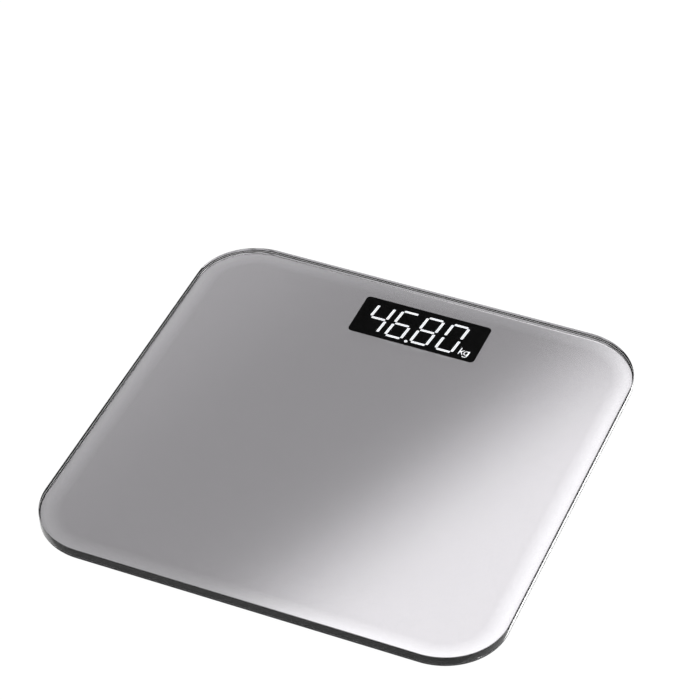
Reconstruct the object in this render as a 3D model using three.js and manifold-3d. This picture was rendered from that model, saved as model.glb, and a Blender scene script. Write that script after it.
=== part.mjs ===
// Digital bathroom scale: tempered glass platform with a silver back coat, a slim
// casing with sloping sides, four load-cell feet, LED readout, battery bay and
// unit button. Millimetres, +Z up, origin on the floor under the middle of the
// platform. +Y runs towards the readout, +X to the right of someone reading it.
import * as THREE from "three";
import { mergeVertices } from "three/addons/utils/BufferGeometryUtils.js";
import Module from "manifold-3d";

// ---- driving dimensions ---------------------------------------------------
const SIDE = 260; // platform is square
const CORNER_R = 35;
const HEIGHT = 24; // floor to glass top
const GLASS_T = 5;
const GLASS_CHAMFER = 0.6;
const COAT_T = 0.25; // silver lacquer film under the glass
const COAT_INSET = 0.95; // bare glass border
const BOND_T = 0.35; // adhesive ring between casing rim and coat
const SEAT = 0.02; // assembly clearance between stacked faces

const RIM_INSET = 0.1; // casing rim behind the glass edge
const LIP_INNER = 0.85; // thin lip of the rim that closes the border round the coat
const RIM_EDGE = 0.6; // height of the rim's vertical edge
const FOOT_DROP = 4; // casing underside above the floor
const SLOPE_IN = 15.5; // how far the sides slope in under the glass
const FLOOR_T = 2;
const FLANGE = 5; // width of the bonding flange

const FOOT_XY = 88; // foot centres from the middle
const FOOT_R = 16.8;
const FOOT_HOLE_R = 17.4;
const FOOT_FLANGE_R = 19;
const PAD_R = 15;
const PAD_T = 2.2;
const CELL = 34; // load cell plate, square
const CELL_T = 1.5;
const CELL_Z = 9;
const MOUNT_OUT = 38;
const MOUNT_IN = 28;

const WIN = { x: 4.51, y: 99.75, w: 75.3, d: 31.2, r: 2.6 }; // readout window
const DIGIT = { w: 9.43, h: 22.5, stroke: 1.9, pitch: 14.85, slant: 0.106, x0: -20.4, y: 99.3 };
const UNIT_TEXT = { x: 34.4, y: 90.4, w: 7.0, d: 7.6 };

const BOARD = { x0: -41, x1: 49, y0: 74.5, y1: 114.5, z: 11, t: 1.6 };
const BOARD_SCREWS = [[-36, 78], [44, 78], [-36, 110], [44, 110]];
const BUTTON = { x: 30, y: 80, r: 4.5, holeR: 4.7, flangeR: 5.6 };

const BAY = { y: 40, halfX: 25.3, halfY: 18 }; // battery pocket
const CELL_R = 5.2; // AAA
const CELL_L = 43.3;
const CELL_PITCH = 11.5;
const CELL_SHIFT = 1.4; // each cell sits towards its positive contact
const CELL_AXIS_Z = 11.6;
const CELL_TRAVEL_GAP = 0.7; // room above each load cell to bend
const DOOR = { halfX: 29.7, y0: 19.6, y1: 60.5, t: 1.6 };

const zTop = HEIGHT;
const zGlass = zTop - GLASS_T;
const zCoat = zGlass - COAT_T;
const zRim = zCoat - BOND_T;
const zSlope = zRim - RIM_EDGE;
const zUnder = FOOT_DROP;
const zFloor = zUnder + FLOOR_T;

// ---- solids from three.js geometry ----------------------------------------
const wasm = await Module();
wasm.setup();

function solid(geometry) {
  const g = geometry.clone();
  for (const name of Object.keys(g.attributes)) if (name !== "position") g.deleteAttribute(name);
  const m = mergeVertices(g, 1e-4);
  const p = m.attributes.position.array;
  const make = (flip) => {
    const t = [];
    const ix = m.index.array;
    for (let i = 0; i < ix.length; i += 3) {
      const [a, b, c] = [ix[i], ix[i + 1], ix[i + 2]];
      if (a === b || b === c || a === c) continue;
      if (flip) t.push(a, c, b);
      else t.push(a, b, c);
    }
    return new wasm.Manifold(
      new wasm.Mesh({ numProp: 3, vertProperties: new Float32Array(p), triVerts: new Uint32Array(t) }),
    );
  };
  const s = make(false);
  return s.volume() < 0 ? make(true) : s;
}

function geometryOf(s) {
  const m = s.getMesh();
  const v = new Float32Array(m.numVert * 3);
  for (let i = 0; i < m.numVert; i++) v.set(m.vertProperties.subarray(i * m.numProp, i * m.numProp + 3), i * 3);
  const g = new THREE.BufferGeometry();
  g.setAttribute("position", new THREE.BufferAttribute(v, 3));
  g.setIndex(new THREE.BufferAttribute(new Uint32Array(m.triVerts), 1));
  const flat = g.toNonIndexed();
  flat.computeVertexNormals();
  return flat;
}

const union = (...s) => s.reduce((a, b) => a.add(b));
const cut = (s, ...tools) => tools.reduce((a, b) => a.subtract(b), s);

function roundRect(w, d, r, cx = 0, cy = 0) {
  const s = new THREE.Shape();
  const x = w / 2 - r;
  const y = d / 2 - r;
  s.moveTo(cx + x, cy - y - r);
  s.absarc(cx + x, cy - y, r, -Math.PI / 2, 0, false);
  s.absarc(cx + x, cy + y, r, 0, Math.PI / 2, false);
  s.absarc(cx - x, cy + y, r, Math.PI / 2, Math.PI, false);
  s.absarc(cx - x, cy - y, r, Math.PI, Math.PI * 1.5, false);
  s.closePath();
  return s;
}
const polygon = (pts) => new THREE.Shape(pts.map(([x, y]) => new THREE.Vector2(x, y)));

function slab(shape, z0, z1, curveSegments = 3) {
  const g = new THREE.ExtrudeGeometry(shape, { depth: z1 - z0, bevelEnabled: false, curveSegments });
  g.translate(0, 0, z0);
  return solid(g);
}
function box(x0, x1, y0, y1, z0, z1) {
  const g = new THREE.BoxGeometry(x1 - x0, y1 - y0, z1 - z0);
  g.translate((x0 + x1) / 2, (y0 + y1) / 2, (z0 + z1) / 2);
  return solid(g);
}
function lathe(profile, segments = 32, cx = 0, cy = 0) {
  const g = new THREE.LatheGeometry(profile.map(([r, z]) => new THREE.Vector2(r, z)), segments);
  g.rotateX(Math.PI / 2);
  g.translate(cx, cy, 0);
  return solid(g);
}
function rod(r, z0, z1, segments = 24, cx = 0, cy = 0) {
  const g = new THREE.CylinderGeometry(r, r, z1 - z0, segments);
  g.rotateX(Math.PI / 2);
  g.translate(cx, cy, (z0 + z1) / 2);
  return solid(g);
}
const pipe = (rOut, rIn, z0, z1, segments, cx = 0, cy = 0) =>
  cut(rod(rOut, z0, z1, segments, cx, cy), rod(rIn, z0 - 1, z1 + 1, segments, cx, cy));
// A rounded-rectangle block whose sides slope outwards from z0 to z1, then rise to z2.
function dish(half, r, slopeIn, z0, z1, z2, curveSegments) {
  const g = new THREE.ExtrudeGeometry(roundRect(2 * half, 2 * half, r), {
    depth: z2 - z1,
    bevelEnabled: true,
    bevelThickness: z1 - z0,
    bevelSize: slopeIn,
    bevelSegments: 1,
    curveSegments,
  });
  g.translate(0, 0, z1);
  return cut(solid(g), box(-200, 200, -200, 200, z2, z2 + 60));
}
function lead(points, radius, steps, sides = 6) {
  const section = new THREE.Shape(
    Array.from({ length: sides }, (_, i) => {
      const a = (2 * Math.PI * i) / sides;
      return new THREE.Vector2(radius * Math.cos(a), radius * Math.sin(a));
    }),
  );
  const path = new THREE.CatmullRomCurve3(points.map((p) => new THREE.Vector3(...p)), false, "centripetal");
  return solid(new THREE.ExtrudeGeometry(section, { steps, bevelEnabled: false, extrudePath: path }));
}

// ---- materials -------------------------------------------------------------
const mat = (color, roughness, metalness = 0, more = {}) =>
  new THREE.MeshStandardMaterial({ color, roughness, metalness, ...more });
const M = {
  glass: mat(0xdfe9e6, 0.03, 0, { transparent: true, opacity: 0.35 }),
  silver: mat(0xb4b3b6, 0.38, 0.85),
  smoked: mat(0x060607, 0.12),
  casing: mat(0x2b2a2d, 0.6),
  bond: mat(0x121212, 0.9),
  foam: mat(0x1c1c1e, 0.95),
  ledCase: mat(0x0d0d0e, 0.45),
  diffuser: mat(0xf2f4f6, 0.5, 0, { emissive: 0xffffff, emissiveIntensity: 0.4 }),
  board: mat(0x1d5a36, 0.5),
  chip: mat(0x151515, 0.5),
  switchBody: mat(0x1a1a1a, 0.5),
  switchStem: mat(0xb9b9b4, 0.5),
  button: mat(0x3a3a3d, 0.55),
  steel: mat(0xb0b2b5, 0.35, 1),
  zinc: mat(0xc4c0b4, 0.32, 1),
  nickel: mat(0xd5d3cb, 0.25, 1),
  gauge: mat(0xe9e4d2, 0.55),
  mount: mat(0xe6e6e2, 0.6),
  foot: mat(0x232325, 0.55),
  rubber: mat(0x3c3c3e, 0.9),
  battery: mat(0x2f3338, 0.35, 0.3),
  red: mat(0xb02020, 0.5),
  black: mat(0x161616, 0.5),
  grey: mat(0x9a9a9c, 0.5),
  label: mat(0xd9dadb, 0.5),
};

const scale = new THREE.Group();
function place(name, s, material, parent = scale) {
  const m = new THREE.Mesh(geometryOf(s), material);
  m.name = name;
  parent.add(m);
  return m;
}

// ---- platform --------------------------------------------------------------
{
  const c = GLASS_CHAMFER;
  const g = new THREE.ExtrudeGeometry(roundRect(SIDE - 2 * c, SIDE - 2 * c, CORNER_R - c), {
    depth: GLASS_T - 2 * c,
    bevelEnabled: true,
    bevelThickness: c,
    bevelSize: c,
    bevelSegments: 1,
    curveSegments: 8,
  });
  g.translate(0, 0, zGlass + c);
  place("glass_platform", solid(g), M.glass);
}
{
  const s = roundRect(SIDE - 2 * COAT_INSET, SIDE - 2 * COAT_INSET, CORNER_R - COAT_INSET);
  s.holes.push(roundRect(WIN.w, WIN.d, WIN.r, WIN.x, WIN.y));
  place("silver_back_coat", slab(s, zCoat, zGlass - SEAT, 8), M.silver);
}
place(
  "readout_filter",
  slab(roundRect(WIN.w + 4, WIN.d + 4, 2.5, WIN.x, WIN.y), zCoat - SEAT - 0.6, zCoat - SEAT, 2),
  M.smoked,
);
{
  const out = SIDE / 2 - 1.5;
  const s = roundRect(2 * out, 2 * out, CORNER_R - 1.5);
  s.holes.push(roundRect(2 * (out - 3.4), 2 * (out - 3.4), CORNER_R - 4.9));
  place("edge_bond", slab(s, zRim + SEAT, zCoat - SEAT, 8), M.bond);
}

// ---- casing ----------------------------------------------------------------
const footAt = {
  front_left: [-FOOT_XY, -FOOT_XY, 0],
  front_right: [FOOT_XY, -FOOT_XY, Math.PI],
  back_left: [-FOOT_XY, FOOT_XY, 0],
  back_right: [FOOT_XY, FOOT_XY, Math.PI],
};
{
  const outHalf = SIDE / 2 - RIM_INSET - SLOPE_IN;
  const outer = dish(outHalf, CORNER_R - RIM_INSET - SLOPE_IN, SLOPE_IN, zUnder, zSlope, zRim, 8);
  const inHalf = outHalf - 1.7;
  const inSlope = SIDE / 2 - RIM_INSET - FLANGE - inHalf;
  const inner = dish(inHalf, CORNER_R - RIM_INSET - FLANGE - inSlope, inSlope, zFloor, zRim, zRim + 5, 8);
  let c = cut(outer, inner);

  // lip round the top of the rim, just under the bare glass border
  const lipHalf = SIDE / 2 - RIM_INSET;
  const lip = roundRect(2 * lipHalf, 2 * lipHalf, CORNER_R - RIM_INSET);
  const lipIn = SIDE / 2 - LIP_INNER;
  lip.holes.push(roundRect(2 * lipIn, 2 * lipIn, CORNER_R - LIP_INNER));
  c = c.add(slab(lip, zRim - 0.4, zGlass - SEAT, 8));

  // stiffening ribs and cable rests on the floor
  const ribTop = 8.5;
  for (const y of [-62, -22, 6]) c = c.add(box(-105, 105, y - 0.75, y + 0.75, zFloor - 0.5, ribTop));
  for (const x of [-46, 46]) c = c.add(box(x - 0.75, x + 0.75, -108, 71, zFloor - 0.5, ribTop));

  // foot bays: hole, outer collar, inner seat ring for the load cell
  for (const [x, y] of Object.values(footAt)) {
    c = c.add(pipe(22, 19.8, zFloor - 0.5, CELL_Z - SEAT, 24, x, y));
    c = c.add(lathe([[17, zUnder + 0.5], [17, 3.2], [19.2, 3.2], [20.4, zUnder + 0.5], [17, zUnder + 0.5]], 24, x, y));
    c = c.subtract(rod(FOOT_HOLE_R, 0, zFloor + 1, 24, x, y));
  }

  // readout board bosses
  for (const [x, y] of BOARD_SCREWS) {
    c = c.add(rod(3, zFloor - 0.5, BOARD.z - SEAT, 16, x, y));
    c = c.subtract(rod(1.25, zFloor + 0.8, BOARD.z + 1, 12, x, y));
  }

  // unit button: shallow finger dish and hole
  c = c.subtract(lathe([[0, zUnder - 1], [9.2, zUnder - 1], [8, zUnder], [5.6, zUnder + 0.7], [0, zUnder + 0.7]], 28, BUTTON.x, BUTTON.y));
  c = c.subtract(rod(BUTTON.holeR, 0, zFloor + 1, 24, BUTTON.x, BUTTON.y));

  // battery bay: thickened floor, box, door recess, pocket, hinge slots, nail notch
  const y0 = BAY.y - BAY.halfY;
  const y1 = BAY.y + BAY.halfY;
  c = c.add(box(-32, 32, 15, 69, zFloor - 0.5, 7.2));
  c = c.add(box(-BAY.halfX - 1.5, BAY.halfX + 1.5, y0 - 1.5, y1 + 1.5, 7, 18.2));
  c = c.subtract(slab(roundRect(60, 41.6, 3.2, 0, 40), 0, 5.7, 3));
  c = c.subtract(box(-BAY.halfX, BAY.halfX, y0, y1, 5, 17.4));
  for (const x of [-16, 16]) c = c.subtract(box(x - 4.6, x + 4.6, 17.2, y0 + 0.1, 4.8, 7.4));
  c = c.subtract(slab(roundRect(15, 12, 3, 0, 61), 0, 5.2, 3));
  // wire ways out of the bay
  c = c.subtract(box(24, 30, BAY.y - CELL_PITCH - 1.6, BAY.y - CELL_PITCH + 1.6, 13.6, 16.6));
  c = c.subtract(box(-30, -24, BAY.y + CELL_PITCH - 1.6, BAY.y + CELL_PITCH + 1.6, 13.6, 16.6));

  // shallow groove that follows the edge of the flat underside
  const bead = roundRect(2 * 112.3, 2 * 112.3, 17.3);
  bead.holes.push(roundRect(2 * 110.8, 2 * 110.8, 15.8));
  c = c.subtract(slab(bead, 0, zUnder + 0.45, 6));

  // label recess in the underside
  c = c.subtract(slab(roundRect(72, 42, 2, 0, -42), 0, zUnder + 0.3, 2));
  place("base_casing", c, M.casing);
}
place("blank_rating_label", slab(roundRect(71.4, 41.4, 1.8, 0, -42), zUnder + 0.06, zUnder + 0.28, 2), M.label);

// ---- feet: one assembly, placed at each corner ------------------------------
const padS = lathe([[0, 0], [14.5, 0], [PAD_R, 0.5], [PAD_R, PAD_T], [0, PAD_T]], 24);
const footS = lathe(
  [
    [0, PAD_T + SEAT], [15.3, PAD_T + SEAT], [15.3, 1], [16.2, 1.0], [FOOT_R, 1.6], [FOOT_R, 6.5],
    [FOOT_FLANGE_R, 6.5], [FOOT_FLANGE_R, 7.5], [5, 7.5], [5, CELL_Z - SEAT], [1.65, CELL_Z - SEAT], [1.65, 3.4], [0, 3.4],
  ],
  20,
);
const footScrewS = (() => {
  const z = CELL_Z + CELL_T + SEAT;
  return lathe([[0, 3.7], [0.6, 3.7], [1.5, 4.6], [1.5, z], [3, z], [3, z + 0.9], [2.2, z + 1.7], [0, z + 1.7]], 12);
})();
const loadCellS = (() => {
  const s = roundRect(CELL, CELL, 3);
  s.holes.push(
    polygon([[9, 9], [-12, 9], [-12, -9], [9, -9], [9, -7.4], [-10.4, -7.4], [-10.4, 7.4], [9, 7.4]]),
  );
  return slab(s, CELL_Z, CELL_Z + CELL_T, 2).subtract(rod(1.85, 0, 30, 12));
})();
const gaugeS = slab(roundRect(5, 8, 1, 10.9, 0), CELL_Z + CELL_T + SEAT, CELL_Z + CELL_T + 0.9, 1);
const mountS = (() => {
  const top = zCoat - SEAT;
  const bottom = CELL_Z + SEAT;
  let m = slab(roundRect(MOUNT_OUT, MOUNT_OUT, 4), bottom, top, 2);
  m = m.subtract(slab(roundRect(MOUNT_IN, MOUNT_IN, 2), 0, 30, 2));
  m = m.subtract(slab(roundRect(CELL + 0.4, CELL + 0.4, 3.2), 0, CELL_Z + CELL_T + CELL_TRAVEL_GAP, 2));
  return m.subtract(box(10, 25, -2.6, 2.6, 0, 14));
})();
for (const [corner, [x, y, turn]] of Object.entries(footAt)) {
  const g = new THREE.Group();
  g.position.set(x, y, 0);
  g.rotation.z = turn;
  scale.add(g);
  place(`foot_pad_${corner}`, padS, M.rubber, g);
  place(`foot_${corner}`, footS, M.foot, g);
  place(`foot_screw_${corner}`, footScrewS, M.zinc, g);
  place(`load_cell_${corner}`, loadCellS, M.steel, g);
  place(`strain_gauge_${corner}`, gaugeS, M.gauge, g);
  place(`cell_mount_${corner}`, mountS, M.mount, g);
}

// ---- load cell leads, laid over the ribs to the board ------------------------
{
  const z = 9.5;
  const b = BOARD.z + BOARD.t + 1.2;
  const routes = {
    front_left: [[-74, -88, 12.4], [-67, -88, 12], [-60, -85, 10], [-56, -76, z], [-54, -40, z], [-53, 0, z], [-51, 45, z], [-44, 61, z], [-35, 68, 10], [-31.6, 69.8, 12.4], [-31, 73, b], [-31, 79, b]],
    front_right: [[74, -88, 12.4], [67, -88, 12], [60, -85, 10], [56, -76, z], [54, -40, z], [53, 0, z], [52, 45, z], [47, 61, z], [41, 68, 10], [39.2, 69.8, 12.4], [39, 73, b], [39, 79, b]],
    back_left: [[-74, 88, 12.4], [-66, 88, 12.2], [-56, 90, 12.2], [-46, 92, b], [-40, 92.5, b], [-35, 92.5, b]],
    back_right: [[74, 88, 12.4], [68, 88, 12.2], [61, 90, 12.2], [53, 92, b], [48, 92.5, b], [44, 92.5, b]],
  };
  for (const [corner, pts] of Object.entries(routes))
    place(`cell_lead_${corner}`, lead(pts, 0.8, pts.length > 8 ? 22 : 9, 5), M.grey);
}

// ---- readout -----------------------------------------------------------------
place(
  "control_board",
  (() => {
    let s = box(BOARD.x0, BOARD.x1, BOARD.y0, BOARD.y1, BOARD.z, BOARD.z + BOARD.t);
    for (const [x, y] of BOARD_SCREWS) s = s.subtract(rod(1.6, 0, 30, 12, x, y));
    return s;
  })(),
  M.board,
);
BOARD_SCREWS.forEach(([x, y], i) => {
  const z = BOARD.z + BOARD.t + SEAT;
  place(
    `board_screw_${i + 1}`,
    lathe([[0, 7.4], [0.5, 7.4], [1.15, 8.2], [1.15, z], [2.6, z], [2.6, z + 0.7], [1.8, z + 1.4], [0, z + 1.4]], 10, x, y),
    M.zinc,
  );
});

// Outlines of the seven bars of one digit, in the digit's own frame, then slanted.
function digitBars(grow = 0) {
  const { w, h, stroke } = DIGIT;
  const t = stroke / 2 + grow;
  const gap = 0.28 - grow;
  const hx = w / 2;
  const hy = h / 2;
  const across = (y) => [[-hx + gap, y], [-hx + gap + t, y + t], [hx - gap - t, y + t], [hx - gap, y], [hx - gap - t, y - t], [-hx + gap + t, y - t]];
  const up = (x, y) => [[x, y + gap], [x + t, y + gap + t], [x + t, y + hy - gap - t], [x, y + hy - gap], [x - t, y + hy - gap - t], [x - t, y + gap + t]];
  return [across(hy), up(hx, 0), up(hx, -hy), across(-hy), up(-hx, -hy), up(-hx, 0), across(0)];
}
function readoutCells(grow) {
  const out = [];
  for (let d = 0; d < 4; d++) {
    const cx = DIGIT.x0 + d * DIGIT.pitch;
    for (const bar of digitBars(grow)) out.push(bar.map(([x, y]) => [cx + x + DIGIT.slant * y, DIGIT.y + y]));
  }
  for (const d of [1, 2]) {
    const cx = DIGIT.x0 + (d + 0.5) * DIGIT.pitch - 0.95;
    const r = 0.9 + grow;
    const cy = DIGIT.y - DIGIT.h / 2 - 0.5;
    out.push(Array.from({ length: 8 }, (_, i) => [cx + r * Math.cos((i * Math.PI) / 4), cy + r * Math.sin((i * Math.PI) / 4)]));
  }
  const { x, y, w, d } = UNIT_TEXT;
  out.push([[x - w / 2 - grow, y - d / 2 - grow], [x + w / 2 + grow, y - d / 2 - grow], [x + w / 2 + grow, y + d / 2 + grow], [x - w / 2 - grow, y + d / 2 + grow]]);
  return out;
}
{
  const zb = BOARD.z + BOARD.t + SEAT;
  const zt = zCoat - SEAT - 0.6 - SEAT;
  const cx = 5;
  const cy = 99.3;
  let c = box(cx - 35, cx + 35, cy - 14, cy + 14, zb, zt);
  c = c.subtract(box(cx - 33, cx + 33, cy - 12.6, cy + 12.6, zb - 1, zb + 1.3));
  for (const p of readoutCells(0)) c = c.subtract(slab(polygon(p), 10, 20));
  place("led_case", c, M.ledCase);
  let d = box(cx - 32.7, cx + 32.7, cy - 12.3, cy + 12.3, zb + 0.3, zb + 1.1);
  for (const p of readoutCells(-0.15)) d = d.add(slab(polygon(p), zb + 1.0, zt - 0.2));
  place("segment_light_guide", d, M.diffuser);
  const s = roundRect(74.4, 32.4, 1.5, cx, cy);
  s.holes.push(roundRect(70.6, 28.6, 0.8, cx, cy));
  place("readout_gasket", slab(s, zt - 3.4, zt, 1), M.foam);
}
place("controller_chip", box(-1, 11, 75.8, 83.2, BOARD.z + BOARD.t + SEAT, BOARD.z + BOARD.t + 2), M.chip);

// ---- unit switch and its button ------------------------------------------------
place(
  "unit_switch",
  box(BUTTON.x - 3, BUTTON.x + 3, BUTTON.y - 3, BUTTON.y + 3, 7.5, BOARD.z - SEAT).subtract(
    rod(1.9, 7, 9.2, 16, BUTTON.x, BUTTON.y),
  ),
  M.switchBody,
);
place("unit_switch_stem", rod(1.75, 6.75, 8.2, 16, BUTTON.x, BUTTON.y), M.switchStem);
place(
  "unit_button",
  lathe(
    [[0, 4.75], [2.6, 4.6], [4.1, 4.6], [BUTTON.r, 5.0], [BUTTON.r, 6.08], [BUTTON.flangeR, 6.08], [BUTTON.flangeR, 6.7], [0, 6.7]],
    24,
    BUTTON.x,
    BUTTON.y,
  ),
  M.button,
);

// ---- battery bay ---------------------------------------------------------------
// Each AAA cell: can, shoulder and positive nub. turn = 1 puts the nub at +X.
function drySolid(turn) {
  const h = CELL_L / 2;
  const g = new THREE.LatheGeometry(
    [[0, -h], [3.6, -h], [CELL_R - 0.3, -h + 0.15], [CELL_R, -h + 0.6], [CELL_R, h - 0.7], [CELL_R - 0.6, h], [1.9, h], [1.9, h + 1], [0, h + 1]].map(([r, y]) => new THREE.Vector2(r, y)),
    16,
  );
  g.rotateZ(turn > 0 ? -Math.PI / 2 : Math.PI / 2);
  return solid(g);
}
const rows = [-CELL_PITCH, 0, CELL_PITCH].map((d) => BAY.y + d);
[1, -1, 1].forEach((turn, i) => {
  const m = place(`battery_${i + 1}`, drySolid(turn), M.battery);
  m.position.set(turn * CELL_SHIFT, rows[i], CELL_AXIS_Z);
});
// Conical contact spring: axis along X, from the wall plate at xs towards the cell at xe.
function coil(y, xs, xe) {
  const turns = 3;
  const n = 24;
  const pts = [];
  for (let i = 0; i <= n; i++) {
    const u = i / n;
    const a = 2 * Math.PI * turns * u;
    const r = 3.6 - 1.5 * u;
    pts.push([xs + (xe - xs) * u, y + r * Math.cos(a), CELL_AXIS_Z + r * Math.sin(a)]);
  }
  return lead(pts, 0.42, 30, 4);
}
const plate = (yA, yB, x) => box(x - 0.2, x + 0.2, yA - 4.4, yB + 4.4, 7.4, 16.2);
const bump = (y, x, dir) => {
  const g = new THREE.CylinderGeometry(2.4, 3, 0.5, 16);
  g.rotateZ(dir > 0 ? -Math.PI / 2 : Math.PI / 2);
  g.translate(x + dir * 0.4, y, CELL_AXIS_Z);
  return solid(g);
};
const px = 24.8; // contact plates stand at the two ends of the pocket
place("contact_positive", union(plate(rows[0], rows[0], px), bump(rows[0], px, -1)), M.nickel);
place("contact_link_right", union(plate(rows[1], rows[2], px), coil(rows[1], px - 0.25, px - 0.25 - 3.9), bump(rows[2], px, -1)), M.nickel);
place("contact_link_left", union(plate(rows[0], rows[1], -px), coil(rows[0], -px + 0.25, -px + 0.25 + 3.9), bump(rows[1], -px, 1)), M.nickel);
place("contact_negative", union(plate(rows[2], rows[2], -px), coil(rows[2], -px + 0.25, -px + 0.25 + 3.9)), M.nickel);

place(
  "battery_lead_red",
  lead([[27.1, rows[0], 15.1], [30.5, rows[0], 14.9], [34.2, 32, 12.5], [35.5, 42, 9.4], [35, 58, 8.6], [28, 68, 9.4], [21.5, 71.2, 12], [20, 74.5, 13.7], [20, 79, 13.7]], 0.75, 18, 5),
  M.red,
);
place(
  "battery_lead_black",
  lead([[-27.1, rows[2], 15.1], [-30.5, rows[2], 14.9], [-34, 55, 12.5], [-33, 63, 9.2], [-25, 68.5, 9.6], [-18, 71.2, 12], [-16, 74.5, 13.7], [-16, 79, 13.7]], 0.75, 15, 5),
  M.black,
);

{
  let d = slab(roundRect(2 * DOOR.halfX, DOOR.y1 - DOOR.y0, 2.9, 0, (DOOR.y0 + DOOR.y1) / 2), zUnder, zUnder + DOOR.t, 3);
  for (const x of [-16, 16]) d = d.add(box(x - 4, x + 4, 17.4, DOOR.y0 + 2, 4.9, zUnder + DOOR.t));
  for (const x of [-13, 0, 13]) d = d.add(box(x - 0.7, x + 0.7, 25, 50.5, zUnder + DOOR.t - 0.2, 6.1));
  // spring latch: two slits, and a raised grip bar at its end
  for (const s of [-1, 1]) d = d.subtract(box(s * 6.6 - 0.45, s * 6.6 + 0.45, 51.8, 61, 0, 8));
  // finger grooves across the door
  for (const y of [27, 30, 33]) d = d.subtract(box(-11, 11, y - 0.55, y + 0.55, 3, zUnder + 0.45));
  place("battery_door", d, M.casing);
}

export default scale;
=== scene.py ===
import math

import bmesh
import bpy
from mathutils import Matrix, Vector


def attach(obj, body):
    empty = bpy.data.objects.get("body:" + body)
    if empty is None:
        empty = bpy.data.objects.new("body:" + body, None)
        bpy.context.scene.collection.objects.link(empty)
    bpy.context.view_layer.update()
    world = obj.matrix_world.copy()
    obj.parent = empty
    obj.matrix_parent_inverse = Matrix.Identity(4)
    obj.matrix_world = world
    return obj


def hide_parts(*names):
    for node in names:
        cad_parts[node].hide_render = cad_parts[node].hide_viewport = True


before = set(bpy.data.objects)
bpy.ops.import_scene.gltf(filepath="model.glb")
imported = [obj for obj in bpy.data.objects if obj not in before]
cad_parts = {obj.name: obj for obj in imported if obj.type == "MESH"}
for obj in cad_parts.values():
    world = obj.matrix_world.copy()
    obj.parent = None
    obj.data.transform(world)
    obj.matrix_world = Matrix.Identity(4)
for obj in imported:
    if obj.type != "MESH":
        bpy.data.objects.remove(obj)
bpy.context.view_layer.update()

MM = 0.001
BODY = "scale_body"
CORNERS = {
    "front_left": (-88, -88, 0.0),
    "front_right": (88, -88, math.pi),
    "back_left": (-88, 88, 0.0),
    "back_right": (88, 88, math.pi),
}

# --------------------------------------------------------------------------- camera
az, el, roll = math.radians(23.058), math.radians(41.672), math.radians(-0.571)
back = Vector((math.sin(az) * math.cos(el), -math.cos(az) * math.cos(el), math.sin(el)))
right = (-back).cross(Vector((0, 0, 1))).normalized()
up = right.cross(-back)
r2 = math.cos(roll) * right + math.sin(roll) * up
u2 = -math.sin(roll) * right + math.cos(roll) * up
cam_data = bpy.data.cameras.new("camera")
cam_data.sensor_width = 36.0
cam_data.lens = 150.34
cam_data.clip_start, cam_data.clip_end = 0.05, 50
cam = bpy.data.objects.new("camera", cam_data)
m = Matrix.Identity(4)
for i in range(3):
    m[i][0], m[i][1], m[i][2] = r2[i], u2[i], back[i]
m.translation = Vector((0.44959, -1.04582, 1.07569 + 0.024))
cam.matrix_world = m
bpy.context.scene.collection.objects.link(cam)
bpy.context.scene.camera = cam


# --------------------------------------------------------------------------- mesh helpers
# Everything is made in millimetres in the row frame, then scaled to metres by done().
def raw(name, verts, faces):
    me = bpy.data.meshes.new(name)
    me.from_pydata([tuple(v) for v in verts], [], faces)
    me.validate()
    ob = bpy.data.objects.new(name, me)
    bpy.context.scene.collection.objects.link(ob)
    bm = bmesh.new()
    bm.from_mesh(me)
    bmesh.ops.recalc_face_normals(bm, faces=bm.faces)
    if bm.calc_volume(signed=True) < 0:
        bmesh.ops.reverse_faces(bm, faces=bm.faces)
    bm.to_mesh(me)
    bm.free()
    return ob


def loft(rings, name="tmp"):
    n = len(rings[0])
    verts = [p for ring in rings for p in ring]
    faces = [list(reversed(range(n)))]
    for k in range(len(rings) - 1):
        a, b = k * n, (k + 1) * n
        for i in range(n):
            j = (i + 1) % n
            faces.append([a + i, a + j, b + j, b + i])
    faces.append([(len(rings) - 1) * n + i for i in range(n)])
    return raw(name, verts, faces)


def rr(w, d, r, cx=0.0, cy=0.0, n=12):
    pts = []
    hx, hy = w / 2 - r, d / 2 - r
    for sx, sy, a0 in ((1, -1, -90), (1, 1, 0), (-1, 1, 90), (-1, -1, 180)):
        for i in range(n + 1):
            a = math.radians(a0 + 90 * i / n)
            pts.append((cx + sx * hx + r * math.cos(a), cy + sy * hy + r * math.sin(a)))
    return pts


def prism(poly, z0, z1, name="tmp"):
    return loft([[(x, y, z0) for x, y in poly], [(x, y, z1) for x, y in poly]], name)


def soft_prism(w, d, r, z0, z1, e, cx=0.0, cy=0.0, n=12, top=True, bottom=True, k=4, name="tmp"):
    """A rounded-rectangle slab whose rims are rounded by e."""
    rings = []
    if bottom:
        for i in range(k + 1):
            a = math.pi / 2 * i / k
            ins = e * (1 - math.sin(a))
            rings.append([(x, y, z0 + e * (1 - math.cos(a))) for x, y in rr(w - 2 * ins, d - 2 * ins, max(r - ins, 0.02), cx, cy, n)])
    else:
        rings.append([(x, y, z0) for x, y in rr(w, d, r, cx, cy, n)])
    if top:
        for i in range(k + 1):
            a = math.pi / 2 * i / k
            ins = e * (1 - math.cos(a))
            rings.append([(x, y, z1 - e * (1 - math.sin(a))) for x, y in rr(w - 2 * ins, d - 2 * ins, max(r - ins, 0.02), cx, cy, n)])
    else:
        rings.append([(x, y, z1) for x, y in rr(w, d, r, cx, cy, n)])
    return loft(rings, name)


def boxm(x0, x1, y0, y1, z0, z1, name="tmp"):
    return prism([(x0, y0), (x1, y0), (x1, y1), (x0, y1)], z0, z1, name)


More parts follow.
